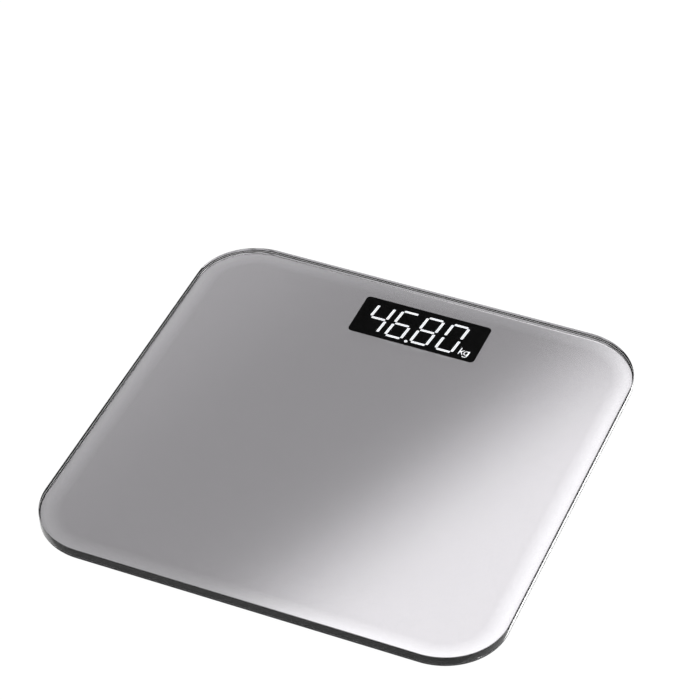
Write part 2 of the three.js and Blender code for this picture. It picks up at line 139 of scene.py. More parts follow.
def turned(profile, seg=64, cx=0.0, cy=0.0, name="tmp"):
    """A solid of revolution about a vertical axis. The profile starts and ends on the axis, or closes on itself."""
    prof = list(profile)
    ring_like = prof[0][0] > 1e-9
    if ring_like and prof[0] == prof[-1]:
        prof = prof[:-1]
    verts, index = [], []
    for r, z in prof:
        if r < 1e-9:
            index.append([len(verts)] * seg)
            verts.append((cx, cy, z))
        else:
            index.append(list(range(len(verts), len(verts) + seg)))
            for i in range(seg):
                a = 2 * math.pi * i / seg
                verts.append((cx + r * math.cos(a), cy + r * math.sin(a), z))
    faces = []
    pairs = list(zip(index, index[1:]))
    if ring_like:
        pairs.append((index[-1], index[0]))
    for a, b in pairs:
        for i in range(seg):
            j = (i + 1) % seg
            f = []
            for v in (a[i], a[j], b[j], b[i]):
                if v not in f:
                    f.append(v)
            if len(f) > 2:
                faces.append(f)
    return raw(name, verts, faces)


def rod(r, z0, z1, seg=48, cx=0.0, cy=0.0):
    return turned([(0, z0), (r, z0), (r, z1), (0, z1)], seg, cx, cy)


def arc(cx, cz, r, a0, a1, k=5):
    return [(cx + r * math.cos(math.radians(a0 + (a1 - a0) * i / k)), cz + r * math.sin(math.radians(a0 + (a1 - a0) * i / k))) for i in range(k + 1)]


def boole(a, b, op):
    md = a.modifiers.new("b", "BOOLEAN")
    md.operation, md.object, md.solver = op, b, "MANIFOLD"
    dg = bpy.context.evaluated_depsgraph_get()
    me = bpy.data.meshes.new_from_object(a.evaluated_get(dg))
    a.modifiers.clear()
    a.data = me
    bpy.data.objects.remove(b, do_unlink=True)
    return a


def cut(a, *tools):
    for t in tools:
        boole(a, t, "DIFFERENCE")
    return a


def join(a, *more):
    for t in more:
        boole(a, t, "UNION")
    return a


def apply_mods(ob):
    dg = bpy.context.evaluated_depsgraph_get()
    me = bpy.data.meshes.new_from_object(ob.evaluated_get(dg))
    ob.modifiers.clear()
    ob.data = me
    return ob


def bevel(ob, width, seg=2, angle=35):
    md = ob.modifiers.new("bevel", "BEVEL")
    md.width, md.segments, md.limit_method, md.angle_limit = width, seg, "ANGLE", math.radians(angle)
    md.use_clamp_overlap = True
    md.miter_outer = "MITER_ARC"
    return apply_mods(ob)


def clean(ob, dist=0.002):
    bm = bmesh.new()
    bm.from_mesh(ob.data)
    bmesh.ops.remove_doubles(bm, verts=bm.verts, dist=dist)
    bmesh.ops.dissolve_degenerate(bm, edges=bm.edges, dist=dist)
    bm.to_mesh(ob.data)
    bm.free()
    return ob


def shade(ob, angle=32, flat_caps=True):
    bm = bmesh.new()
    bm.from_mesh(ob.data)
    lim = math.radians(angle)
    for f in bm.faces:
        f.smooth = True
    # flat regions: neighbouring faces that lie in one plane count as one
    bm.faces.ensure_lookup_table()
    bm.faces.index_update()
    region = list(range(len(bm.faces)))

    def root(i):
        while region[i] != i:
            region[i] = region[region[i]]
            i = region[i]
        return i

    for e in bm.edges:
        if len(e.link_faces) == 2:
            a, b = e.link_faces
            if a.normal.dot(b.normal) > 0.9999995 and a.calc_area() > 1e-7 and b.calc_area() > 1e-7:
                region[root(a.index)] = root(b.index)
    area_of = {}
    for f in bm.faces:
        k = root(f.index)
        area_of[k] = area_of.get(k, 0.0) + f.calc_area()
    for e in bm.edges:
        if len(e.link_faces) == 2:
            a, b = e.link_faces
            sharp = e.calc_face_angle(0) > lim
            # a large flat face keeps its own normal at its rim
            if flat_caps and not sharp and a.normal.dot(b.normal) < 0.99995:
                sa, sb = area_of[root(a.index)], area_of[root(b.index)]
                if max(sa, sb) > 25 * min(sa, sb) and max(sa, sb) > 60:
                    sharp = True
            e.smooth = not sharp
        else:
            e.smooth = False
    bm.to_mesh(ob.data)
    bm.free()
    return ob


def done(ob, name, body, material, *nodes, slot=None, angle=32, shift=None):
    """Scales to metres, names, shades, rides and stands for its CAD nodes."""
    ob.name = name
    ob.data.name = name
    shade(ob, angle)
    ob.data.transform(Matrix.Scale(MM, 4))
    mats = material if isinstance(material, (list, tuple)) else [material]
    keep = [p.material_index for p in ob.data.polygons]
    ob.data.materials.clear()
    for mt in mats:
        ob.data.materials.append(mt)
    for p, k in zip(ob.data.polygons, keep):
        p.material_index = min(k, len(mats) - 1)
    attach(ob, body)
    if nodes:
        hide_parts(*nodes)
    return ob


def moved(ob, x=0.0, y=0.0, z=0.0, turn=0.0):
    ob.data.transform(Matrix.Translation((x, y, z)) @ Matrix.Rotation(turn, 4, "Z"))
    return ob


# --------------------------------------------------------------------------- materials
class Mat:
    def __init__(self, name):
        self.m = bpy.data.materials.new(name)
        self.m.use_nodes = True
        self.t = self.m.node_tree
        self.t.nodes.clear()
        self.out = self.t.nodes.new("ShaderNodeOutputMaterial")
        self.b = self.t.nodes.new("ShaderNodeBsdfPrincipled")
        self.t.links.new(self.b.outputs[0], self.out.inputs[0])
        self.co = self.t.nodes.new("ShaderNodeTexCoord").outputs["Object"]

    def node(self, kind, **kw):
        n = self.t.nodes.new(kind)
        for k, v in kw.items():
            setattr(n, k, v)
        return n

    def link(self, a, b):
        self.t.links.new(a, b)

    def noise(self, scale, detail=3.0, rough=0.5, vector=None):
        n = self.node("ShaderNodeTexNoise")
        n.inputs["Scale"].default_value = scale
        n.inputs["Detail"].default_value = detail
        n.inputs["Roughness"].default_value = rough
        self.link(vector or self.co, n.inputs["Vector"])
        return n.outputs["Fac"]

    def voronoi(self, scale, out="Distance", feature="F1", vector=None):
        n = self.node("ShaderNodeTexVoronoi", feature=feature)
        n.inputs["Scale"].default_value = scale
        self.link(vector or self.co, n.inputs["Vector"])
        return n.outputs[out]

    def stretch(self, sx, sy, sz):
        n = self.node("ShaderNodeMapping")
        n.inputs["Scale"].default_value = (sx, sy, sz)
        self.link(self.co, n.inputs["Vector"])
        return n.outputs[0]

    def ramp(self, fac, a, b, lo=0.0, hi=1.0):
        """Linear map of fac in lo..hi to a..b, clamped."""
        n = self.node("ShaderNodeMapRange")
        n.inputs["From Min"].default_value, n.inputs["From Max"].default_value = lo, hi
        n.inputs["To Min"].default_value, n.inputs["To Max"].default_value = a, b
        self.link(fac, n.inputs["Value"])
        return n.outputs[0]

    def math(self, op, a, b=None, clamp=False):
        n = self.node("ShaderNodeMath", operation=op)
        n.use_clamp = clamp
        for i, v in enumerate((a, b)):
            if v is None:
                continue
            if isinstance(v, (int, float)):
                n.inputs[i].default_value = v
            else:
                self.link(v, n.inputs[i])
        return n.outputs[0]

    def mix(self, fac, a, b):
        n = self.node("ShaderNodeMix", data_type="RGBA")
        ins = [s for s in n.inputs if s.enabled]
        for s, v in zip((n.inputs[0], n.inputs[6], n.inputs[7]), (fac, a, b)):
            if isinstance(v, (int, float)):
                s.default_value = v
            elif isinstance(v, (tuple, list)):
                s.default_value = (*v[:3], 1)
            else:
                self.link(v, s)
        return n.outputs[2]

    def bump(self, height, strength=0.2, distance=0.0001, normal=None):
        n = self.node("ShaderNodeBump")
        n.inputs["Strength"].default_value = strength
        n.inputs["Distance"].default_value = distance
        self.link(height, n.inputs["Height"])
        if normal is not None:
            self.link(normal, n.inputs["Normal"])
        return n.outputs[0]

    def set(self, **kw):
        for k, v in kw.items():
            s = self.b.inputs[k.replace("_", " ")]
            if hasattr(v, "is_linked") or isinstance(v, bpy.types.NodeSocket):
                self.link(v, s)
            elif isinstance(v, (tuple, list)):
                s.default_value = (*v[:3], 1) if len(s.default_value) == 4 else v
            else:
                s.default_value = v
        return self


def plastic(name, dark, light, rough=(0.5, 0.62), grain=2200, depth=0.00003, strength=0.35, blotch=60):
    """Moulded plastic: fine spark-eroded grain, slow tone drift, slightly uneven gloss."""
    s = Mat(name)
    slow = s.noise(blotch, 3)
    fine = s.noise(grain, 2, 0.6)
    s.set(Base_Color=s.mix(s.ramp(s.math("ADD", s.math("MULTIPLY", slow, 0.7), s.math("MULTIPLY", fine, 0.3)), 0, 1, 0.3, 0.7), dark, light))
    s.set(Roughness=s.ramp(fine, rough[0], rough[1], 0.3, 0.7))
    s.set(Normal=s.bump(fine, strength, depth))
    return s.m


def metal(name, dark, light, rough=(0.22, 0.36), scale=900, stretch=(1, 12, 1), strength=0.12):
    """Plated or stamped sheet metal: drawn streaks, small stains."""
    s = Mat(name)
    streak = s.noise(scale, 3, 0.6, s.stretch(*stretch))
    slow = s.noise(120, 4)
    s.set(Base_Color=s.mix(s.ramp(slow, 0, 1, 0.35, 0.65), dark, light), Metallic=1.0)
    s.set(Roughness=s.ramp(s.math("ADD", s.math("MULTIPLY", streak, 0.6), s.math("MULTIPLY", slow, 0.4)), rough[0], rough[1], 0.35, 0.65))
    s.set(Normal=s.bump(streak, strength, 0.00002))
    return s.m


# clear tempered glass, polished edge, faint wiping marks
g = Mat("clear_glass")
g.set(Base_Color=(0.99, 0.992, 0.992), Transmission_Weight=1.0, IOR=1.5)
g.set(Roughness=g.ramp(g.noise(35, 4, 0.6), 0.0, 0.022, 0.5, 0.8))
GLASS = g.m

# underside of the glass, wetted by the lacquer and the glue: no air, so no reflection there
g = Mat("bonded_glass")
g.set(Base_Color=g.mix(g.noise(30, 2), (0.985, 0.992, 0.99), (0.992, 0.996, 0.995)), Transmission_Weight=1.0, IOR=1.0, Roughness=0.0)
BONDED = g.m

# silver lacquer under the glass: fine flake, with a painted edge glow that makes it a little lighter and flatter
# towards the edge, painted in for light let in through the glass edge
f = Mat("silver_lacquer")
sep = f.node("ShaderNodeSeparateXYZ")
f.link(f.co, sep.inputs[0])
# rounded-rectangle distance to the platform edge, in metres
qx = f.math("SUBTRACT", f.math("ABSOLUTE", sep.outputs[0]), 0.130 - 0.035)
qy = f.math("SUBTRACT", f.math("ABSOLUTE", sep.outputs[1]), 0.130 - 0.035)
px_, py_ = f.math("MAXIMUM", qx, 0.0), f.math("MAXIMUM", qy, 0.0)
length = f.math("SQRT", f.math("ADD", f.math("MULTIPLY", px_, px_), f.math("MULTIPLY", py_, py_)))
inner = f.math("MINIMUM", f.math("MAXIMUM", qx, qy), 0.0)
depth = f.math("SUBTRACT", 0.035, f.math("ADD", length, inner))
# painted edge glow: a lighter band from about 1 to 12 mm in from the edge, painted in for light let in through the
# glass edge
painted_edge_glow = f.math("MULTIPLY", f.ramp(depth, 0.35, 1.0, 0.0010, 0.0029), f.ramp(depth, 1.0, 0.0, 0.0042, 0.0120))
flake = f.voronoi(4200, "Color")
fsep = f.node("ShaderNodeSeparateColor")
f.link(flake, fsep.inputs[0])
slow = f.noise(14, 3)
tone = f.mix(f.ramp(fsep.outputs[0], 0, 1), (0.57, 0.555, 0.578), (0.63, 0.615, 0.638))
tone = f.mix(f.math("MULTIPLY", slow, 0.08), tone, (0.50, 0.50, 0.51))
# the painted edge glow is mixed into the lacquer colour here
f.set(Base_Color=f.mix(f.math("MULTIPLY", painted_edge_glow, 0.42), tone, (0.92, 0.91, 0.935)))
f.set(Metallic=1.0, Roughness=f.ramp(fsep.outputs[1], 0.09, 0.12))
f.set(Normal=f.bump(fsep.outputs[2], 0.022, 0.00002))
SILVER = f.m

# smoked readout filter
s = Mat("smoked_filter")
n1 = s.noise(40, 2)
s.set(Base_Color=s.mix(n1, (0.0010, 0.0010, 0.0012), (0.0022, 0.0022, 0.0026)), Roughness=s.ramp(n1, 0.3, 0.36), Specular_IOR_Level=0.06)
FILTER = s.m

# lit segments: slightly uneven glow as from a light guide
s = Mat("lit_segments")
n1 = s.noise(260, 2)
s.set(Base_Color=(0.85, 0.86, 0.88), Emission_Color=s.mix(s.ramp(n1, 0, 1, 0.35, 0.65), (0.92, 0.95, 1.0), (1.0, 1.0, 1.0)), Emission_Strength=0.72, Roughness=0.5)
LIT = s.m

CASING = plastic("casing_abs", (0.020, 0.0195, 0.0215), (0.034, 0.033, 0.036), (0.46, 0.60), 1900, 0.00004, 0.4)
DOOR = plastic("door_abs", (0.024, 0.0235, 0.0255), (0.038, 0.037, 0.040), (0.44, 0.56), 1900, 0.00004, 0.4)
BUTTON = plastic("button_abs", (0.16, 0.16, 0.165), (0.20, 0.20, 0.205), (0.34, 0.44), 2600, 0.00002, 0.3)
FOOT = plastic("foot_abs", (0.022, 0.022, 0.024), (0.034, 0.034, 0.036), (0.30, 0.42), 2600, 0.00002, 0.25)
RUBBER = plastic("foot_rubber", (0.115, 0.115, 0.118), (0.165, 0.165, 0.168), (0.78, 0.92), 1200, 0.00006, 0.5, 140)
BOND = plastic("bond_tape", (0.014, 0.014, 0.015), (0.022, 0.022, 0.023), (0.8, 0.95), 1500, 0.00005, 0.5)
MOUNT = plastic("cell_mount_abs", (0.66, 0.66, 0.64), (0.74, 0.74, 0.72), (0.42, 0.55), 1600, 0.00003, 0.3)
STEEL = metal("cell_steel", (0.42, 0.43, 0.44), (0.56, 0.57, 0.58))
ZINC = metal("zinc_screw", (0.52, 0.50, 0.44), (0.66, 0.65, 0.60), (0.2, 0.34))
NICKEL = metal("nickel_contact", (0.60, 0.57, 0.51), (0.72, 0.70, 0.65), (0.16, 0.3), 1400)
LED_CASE = plastic("led_case_black", (0.010, 0.010, 0.011), (0.018, 0.018, 0.019), (0.35, 0.45), 2400, 0.00002, 0.25)
GUIDE = plastic("light_guide_white", (0.78, 0.80, 0.82), (0.88, 0.90, 0.92), (0.35, 0.5), 1500, 0.00001, 0.15)
CHIP = plastic("chip_epoxy", (0.018, 0.018, 0.018), (0.028, 0.028, 0.028), (0.45, 0.6), 3000, 0.00002, 0.3)
STEM = plastic("switch_stem", (0.42, 0.42, 0.40), (0.5, 0.5, 0.48), (0.4, 0.5))
GAUGE = plastic("gauge_potting", (0.74, 0.70, 0.56), (0.84, 0.81, 0.68), (0.3, 0.5), 500, 0.00008, 0.4)
GREY_LEAD = plastic("lead_grey", (0.30, 0.30, 0.31), (0.38, 0.38, 0.39), (0.38, 0.5), 1800, 0.00002, 0.2)
RED_LEAD = plastic("lead_red", (0.42, 0.015, 0.012), (0.55, 0.03, 0.025), (0.35, 0.48), 1800, 0.00002, 0.2)
BLACK_LEAD = plastic("lead_black", (0.014, 0.014, 0.014), (0.024, 0.024, 0.024), (0.35, 0.48), 1800, 0.00002, 0.2)
LABEL = plastic("blank_label", (0.50, 0.505, 0.51), (0.56, 0.565, 0.57), (0.3, 0.42), 800, 0.00001, 0.12)
FOAM = plastic("gasket_foam", (0.014, 0.014, 0.015), (0.03, 0.03, 0.032), (0.9, 1.0), 900, 0.00015, 0.8)

# solder mask with copper traces showing faintly
s = Mat("board_mask")
v = s.voronoi(240, "Distance", "DISTANCE_TO_EDGE")
trace = s.ramp(v, 1.0, 0.0, 0.03, 0.05)
n1 = s.noise(60, 3)
s.set(Base_Color=s.mix(trace, s.mix(n1, (0.010, 0.085, 0.035), (0.016, 0.11, 0.045)), (0.03, 0.19, 0.075)), Roughness=s.ramp(n1, 0.28, 0.4), Normal=s.bump(trace, 0.3, 0.00003))
BOARD = s.m

# battery jacket: dark film with a lighter band at the positive end, bare metal caps
s = Mat("battery_jacket")
n1 = s.noise(300, 3)
s.set(Base_Color=s.mix(n1, (0.035, 0.040, 0.045), (0.05, 0.055, 0.062)), Roughness=s.ramp(n1, 0.24, 0.34), Metallic=0.35, Normal=s.bump(n1, 0.05, 0.00003))
JACKET = s.m
s = Mat("battery_band")
n1 = s.noise(300, 3)
s.set(Base_Color=s.mix(n1, (0.50, 0.36, 0.14), (0.60, 0.44, 0.18)), Roughness=s.ramp(n1, 0.22, 0.32), Metallic=0.8, Normal=s.bump(n1, 0.05, 0.00003))
BAND = s.m

# --------------------------------------------------------------------------- platform
SIDE, CR, ZT, ZG = 260.0, 35.0, 24.0, 19.0


def platform_ring(ins, z, n=40):
    return [(x, y, z) for x, y in rr(SIDE - 2 * ins, SIDE - 2 * ins, CR - ins, 0, 0, n)]


rings = []
e = 0.1
for i in range(5):
    a = math.pi / 2 * i / 4
    rings.append(platform_ring(e * (1 - math.sin(a)), ZG + e * (1 - math.cos(a))))
e = 0.45
for i in range(7):
    a = math.pi / 2 * i / 6
    rings.append(platform_ring(e * (1 - math.cos(a)), ZT - e * (1 - math.sin(a))))
glass = loft(rings)
for p in glass.data.polygons:
    if p.normal.z < -0.9 and p.center.z < ZG + 0.01:
        p.material_index = 1
glass.data.materials.append(None)
glass.data.materials.append(None)
glass = done(glass, "glass_plate", BODY, [GLASS, BONDED], "glass_platform", slot="glass", angle=20)

WX, WY, WW, WD, WR = 4.51, 99.75, 75.3, 31.2, 2.6
INS = 0.95
film = prism([(x, y) for x, y, _ in platform_ring(INS, 0)], ZG - 0.24, ZG + 0.015)
cut(film, prism(rr(WW, WD, WR, WX, WY, 10), 10, 30))
film = done(film, "silver_lacquer_film", BODY, SILVER, "silver_back_coat", slot="silver_coat", angle=30)

# the filter's raised middle fills the opening in the lacquer, against the glass
filt = loft([[(x, y, z) for x, y in rr(w_, d_, r_, WX, WY, 10)] for w_, d_, r_, z in (
    (WW + 3.8, WD + 3.8, 2.4, 18.13), (WW + 4, WD + 4, 2.5, 18.23), (WW + 4, WD + 4, 2.5, 18.63), (WW + 3.8, WD + 3.8, 2.4, 18.73),
    (WW - 0.06, WD - 0.06, WR - 0.03, 18.731), (WW - 0.06, WD - 0.06, WR - 0.03, 19.012))])
filt = done(filt, "readout_window", BODY, FILTER, "readout_filter", slot="smoked_filter")

ring_out = prism([(x, y) for x, y, _ in platform_ring(1.5, 0, 32)], 18.42, 18.73)
cut(ring_out, prism([(x, y) for x, y, _ in platform_ring(4.9, 0, 32)], 10, 30))
done(ring_out, "edge_bond_tape", BODY, BOND, "edge_bond", slot="bond")

# --------------------------------------------------------------------------- lit reading
DW, DH, ST, SL, DY = 9.46, 22.42, 1.6, 0.1065, 99.3
DIGIT_X = (-20.37, -5.96, 9.12, 24.17)
SEG = {
    "0": "abcdef", "1": "bc", "2": "abged", "3": "abgcd", "4": "fgbc",
    "5": "afgcd", "6": "afgedc", "7": "abc", "8": "abcdefg", "9": "abcdfg",
}


def bar(x0, y0, x1, y1, w, name="tmp"):
    """One glowing bar with round-shouldered ends, as a thin solid."""
    d = Vector((x1 - x0, y1 - y0))
    L = d.length
    d.normalize()
    n = Vector((-d.y, d.x))
    pts = []
    h = w / 2
    for t, s_ in ((0, 1), (L, -1)):
        base = Vector((x0, y0)) if t == 0 else Vector((x1, y1))
        for i in range(7):
            a = math.radians(-80 + 160 * i / 6)
            off = d * (-s_ * h * 0.62 * math.cos(a)) + n * (-s_ * h * math.sin(a))
            pts.append(base + d * (s_ * h * 0.62) + off)
    return [(p.x, p.y) for p in pts]


def slanted(pts, cx):
    return [(cx + x + SL * y, DY + y) for x, y in pts]


lit = None


def add_lit(poly):
    global lit
    verts = [(x, y, 19.0) for x, y in poly] + [(x, y, 19.04) for x, y in poly]
    n = len(poly)
    faces = [list(reversed(range(n))), [n + i for i in range(n)]] + [[i, (i + 1) % n, n + (i + 1) % n, n + i] for i in range(n)]
    LV.append((verts, faces))


LV = []
hx, hy, gp, gm = DW / 2, DH / 2, 0.62, 1.0  # gm: the break half way up
ends = {
    "a": (-hx + gp, hy, hx - gp, hy), "d": (-hx + gp, -hy, hx - gp, -hy), "g": (-hx + gp, 0, hx - gp, 0),
    "f": (-hx, gm, -hx, hy - gp), "b": (hx, gm, hx, hy - gp), "e": (-hx, -hy + gp, -hx, -gm), "c": (hx, -hy + gp, hx, -gm),
}
for k, digit in enumerate("4680"):
    cx = DIGIT_X[k]
    for sname in SEG[digit]:
        add_lit(slanted(bar(*ends[sname], ST), cx))
dot_x, dot_y = 1.02, 87.26
add_lit([(dot_x + 1.0 * math.cos(i * math.pi / 10), dot_y + 1.0 * math.sin(i * math.pi / 10)) for i in range(20)])

# unit letters, drawn as thin strokes of one width
UX, UY, UW, UH = 31.23, 86.63, 6.49, 7.37


def stroke(points, w, closed=False):
    """A flat stroke of width w along a polyline, with round ends, as one outline."""
    P = [Vector(p) for p in points]
    n = len(P)
    left, right_ = [], []
    for i in range(n):
        a_ = P[(i - 1) % n] if closed or i > 0 else None
        b_ = P[(i + 1) % n] if closed or i < n - 1 else None
        d_ = Vector((0, 0))
        if a_ is not None:
            d_ += (P[i] - a_).normalized()
        if b_ is not None:
            d_ += (b_ - P[i]).normalized()
        d_.normalize()
        nn = Vector((-d_.y, d_.x))
        ref = (P[i] - a_).normalized() if a_ is not None else (b_ - P[i]).normalized()
        k = min(1.6, 1.0 / max(0.3, abs(ref.dot(d_))))
        left.append(P[i] + nn * (w / 2 * k))
        right_.append(P[i] - nn * (w / 2 * k))
    if closed:
        return left, right_

    def cap(c, d_, s0):
        base = math.atan2(d_.y, d_.x)
        return [c + Vector((math.cos(base + t), math.sin(base + t))) * (w / 2) for t in [s0 + (-s0 * 2) * j / 6 for j in range(1, 6)]]

    e0 = (P[1] - P[0]).normalized()
    e1 = (P[-1] - P[-2]).normalized()
    return left + cap(P[-1], e1, math.pi / 2) + right_[::-1] + cap(P[0], -e0, math.pi / 2)


def unit_xy(u, v):
    """u across the pair of letters, v up from the foot of the g; both letters lean."""
    return (UX + u + 0.1 * (v - 2.0), UY + v)


def add_stroke(pts, w):
    add_lit([(p.x, p.y) for p in stroke([unit_xy(*p) for p in pts], w)])


KW = 0.62
add_stroke([(0.45, 2.1), (0.45, 7.1)], KW)
add_stroke([(0.75, 3.75), (2.55, 5.45)], KW * 0.92)
add_stroke([(1.25, 4.1), (2.6, 2.15)], KW * 0.92)
# g: a round bowl, and a stem that turns under it
bowl = [(4.45 + 1.18 * math.cos(t), 3.75 + 1.55 * math.sin(t)) for t in [2 * math.pi * i / 28 for i in range(28)]]
lo_, ro_ = stroke([unit_xy(*p) for p in bowl], KW * 0.92, closed=True)
nb = len(bowl)
bv = [(p.x, p.y, 19.0) for p in lo_] + [(p.x, p.y, 19.0) for p in ro_] + [(p.x, p.y, 19.04) for p in lo_] + [(p.x, p.y, 19.04) for p in ro_]
bf = []
for i in range(nb):
    j = (i + 1) % nb
    bf += [[i, j, nb + j, nb + i], [2 * nb + i, 3 * nb + i, 3 * nb + j, 2 * nb + j], [i, 2 * nb + i, 2 * nb + j, j], [nb + i, nb + j, 3 * nb + j, 3 * nb + i]]
LV.append((bv, bf))
add_stroke([(5.72, 5.5), (5.72, 1.75), (5.55, 1.05), (5.05, 0.55), (4.4, 0.38), (3.75, 0.48), (3.3, 0.75)], KW * 0.95)

V, F = [], []
for verts, faces in LV:
    o = len(V)
    V += verts
    F += [[o + i for i in fc] for fc in faces]
digits = raw("tmp", V, F)
done(digits, "lit_reading", BODY, LIT, slot="light_guide")

# --------------------------------------------------------------------------- casing
ZU, ZF, ZR, ZS, ZL = 4.0, 6.0, 18.4, 17.8, 18.97  # ZL: top of the lip under the bare glass border


def casing_ring(ins, z, n=24):
    w = SIDE - 2 * (0.1 + ins)
    return [(x, y, z) for x, y in rr(w, w, CR - 0.1 - ins, 0, 0, n)]


slope = math.atan2(ZS - ZU, 15.5)
outer = [(15.5 + 1.6, ZU), (15.5 + 0.9, ZU + 0.02), (15.5 + 0.3, ZU + 0.14), (15.5 - 0.3, ZU + 0.42), (15.5 - 0.9, ZU + 0.85), (0.55, ZS - 0.50), (0.26, ZS - 0.22), (0.07, ZS - 0.02), (0.0, ZS + 0.15), (0.0, ZL - 0.08), (0.02, ZL - 0.02), (0.08, ZL)]
case = loft([casing_ring(i_, z_) for i_, z_ in outer])
inner_p = [(17.2 + 0.9, ZF), (17.2 + 0.3, ZF + 0.15), (17.2 - 0.4, ZF + 0.75), (5.0, ZR), (5.0, ZR + 3)]
cut(case, loft([casing_ring(i_, z_) for i_, z_ in inner_p]))
cut(case, loft([casing_ring(0.75, ZR), casing_ring(0.75, ZR + 3)]))
for y in (-62, -22, 6):
    join(case, boxm(-105, 105, y - 0.75, y + 0.75, ZF - 0.5, 8.5))
for x in (-46, 46):
    join(case, boxm(x - 0.75, x + 0.75, -108, 71, ZF - 0.5, 8.5))
for x, y, _ in CORNERS.values():
    join(case, turned([(19.8, ZF - 0.5), (22, ZF - 0.5), (22, 8.7), (21.8, 8.98), (20.0, 8.98), (19.8, 8.7), (19.8, ZF - 0.5)], 64, x, y))
    join(case, turned([(16.9, ZU + 0.5), (16.9, 3.4), (17.2, 3.2), (18.9, 3.2), (19.25, 3.3), (19.5, 3.55), (20.0, ZU - 0.12), (20.6, ZU + 0.01), (20.6, ZU + 0.5), (16.9, ZU + 0.5)], 72, x, y))
    cut(case, rod(17.4, 0, ZF + 1, 72, x, y))
for x, y in ((-36, 78), (44, 78), (-36, 110), (44, 110)):
    join(case, rod(3, ZF - 0.5, 10.98, 40, x, y))
    cut(case, rod(1.25, ZF + 0.8, 12, 24, x, y))
cut(case, turned([(0, ZU - 1), (9.6, ZU - 1), (9.3, ZU - 0.02), (8.9, ZU + 0.05), (7.8, ZU + 0.25), (6.6, ZU + 0.5), (5.6, ZU + 0.64), (4.6, ZU + 0.7), (0, ZU + 0.7)], 64, 30, 80))
cut(case, rod(4.7, 0, ZF + 1, 48, 30, 80))
join(case, boxm(-32, 32, 15, 69, ZF - 0.5, 7.2))
join(case, boxm(-26.8, 26.8, 20.5, 59.5, 7, 18.2))
cut(case, prism(rr(60, 41.6, 3.2, 0, 40, 10), 0, 5.7))
cut(case, boxm(-25.3, 25.3, 22, 58, 5, 17.4))
for x in (-16, 16):
    cut(case, boxm(x - 4.6, x + 4.6, 17.2, 22.1, 4.8, 7.4))
# finger scoop beside the latch
cut(case, loft([[(x, y, z) for x, y in rr(15 - 2 * i_, 12 - 2 * i_, max(3 - i_, 0.5), 0, 61, 10)] for i_, z in ((-0.5, 3.0), (0.0, 4.0), (0.35, 4.6), (1.1, 5.2))]))
cut(case, boxm(24, 30, 26.9, 30.1, 13.6, 16.6))
cut(case, boxm(-30, -24, 49.9, 53.1, 13.6, 16.6))
cut(case, prism(rr(72, 42, 2, 0, -42, 10), 0, ZU + 0.3))
bead = loft([[(x, y, z) for x, y in rr(2 * (111.55 + i_), 2 * (111.55 + i_), 16.55 + i_, 0, 0, 16)] for i_, z in ((0.95, ZU - 1), (0.95, ZU - 0.02), (0.72, ZU + 0.12), (0.5, ZU + 0.36), (0.3, ZU + 0.45))])
cut(bead, loft([[(x, y, z) for x, y in rr(2 * (111.55 - i_), 2 * (111.55 - i_), 16.55 - i_, 0, 0, 16)] for i_, z in ((0.95, ZU - 2), (0.95, ZU - 0.02), (0.72, ZU + 0.12), (0.5, ZU + 0.36), (0.3, ZU + 0.45), (0.3, ZU + 0.6))]))
cut(case, bead)
clean(case)
case = done(case, "lower_casing", BODY, CASING, "base_casing", slot="casing_abs", angle=28)
done(prism(rr(71.4, 41.4, 1.8, 0, -42, 10), ZU + 0.06, ZU + 0.28), "blank_label_plate", BODY, LABEL, "blank_rating_label", slot="label")

# --------------------------------------------------------------------------- feet
for corner, (x, y, turn) in CORNERS.items():
    body = f"foot_{corner}_unit"
    pad = [(0, 0.35), (4.2, 0.35), (4.5, 0.05), (5.6, 0.05), (5.9, 0.35), (7.6, 0.35), (7.9, 0.0), (9.2, 0.0), (9.5, 0.35), (11.2, 0.35), (11.5, 0.0), (14.2, 0.0), (14.6, 0.1), (14.88, 0.36), (15.0, 0.7), (15.0, 2.2), (0, 2.2)]
    done(turned(pad, 72, x, y), f"rubber_pad_{corner}", body, RUBBER, f"foot_pad_{corner}", slot="foot_rubber", angle=40)
    cup = [(0, 2.22), (15.3, 2.22), (15.3, 1.25), (15.42, 1.05), (15.7, 1.0), (16.1, 1.02), (16.5, 1.2), (16.74, 1.5), (16.8, 1.9), (16.8, 6.5), (19.0, 6.5), (19.0, 7.3), (18.8, 7.5), (5, 7.5), (5, 8.8), (4.85, 8.98), (1.65, 8.98), (1.65, 3.4), (0, 3.4)]
    done(turned(cup, 72, x, y), f"foot_cup_{corner}", body, FOOT, f"foot_{corner}", slot="foot_plastic", angle=35)

# --------------------------------------------------------------------------- battery door and button
door = prism(rr(59.4, 40.9, 2.9, 0, 40.05, 10), ZU, 5.6)
for sx in (-1, 1):
    cut(door, boxm(sx * 6.6 - 0.45, sx * 6.6 + 0.45, 51.8, 62, 0, 8))
door = bevel(door, 0.22, 3, 40)
for y in (27, 30, 33):
    groove = loft([[(x, y + yy, z) for x, yy in rr(22 - 2 * i_, 1.3 - 2 * i_, 0.64 - i_ if i_ < 0.6 else 0.04, 0, 0, 6)] for i_, z in ((-0.05, 3.6), (0.0, 4.0), (0.12, 4.25), (0.36, 4.45))])
    cut(door, groove)
for x in (-16, 16):
    join(door, boxm(x - 4, x + 4, 17.4, 21.6, 4.9, 5.6))
for x in (-13, 0, 13):
    join(door, boxm(x - 0.7, x + 0.7, 25, 50.5, 5.4, 6.1))
clean(door)
done(door, "battery_cover", "battery_door_unit", DOOR, "battery_door", slot="casing_abs", angle=30)

btn = [(0, 4.78), (1.4, 4.76), (2.6, 4.68), (3.4, 4.61), (4.0, 4.62), (4.35, 4.75), (4.5, 5.0), (4.5, 6.08), (5.6, 6.08), (5.6, 6.6), (5.5, 6.7), (0, 6.7)]
done(turned(btn, 64, 30, 80), "unit_select_button", "unit_button_unit", BUTTON, "unit_button", slot="button", angle=35)

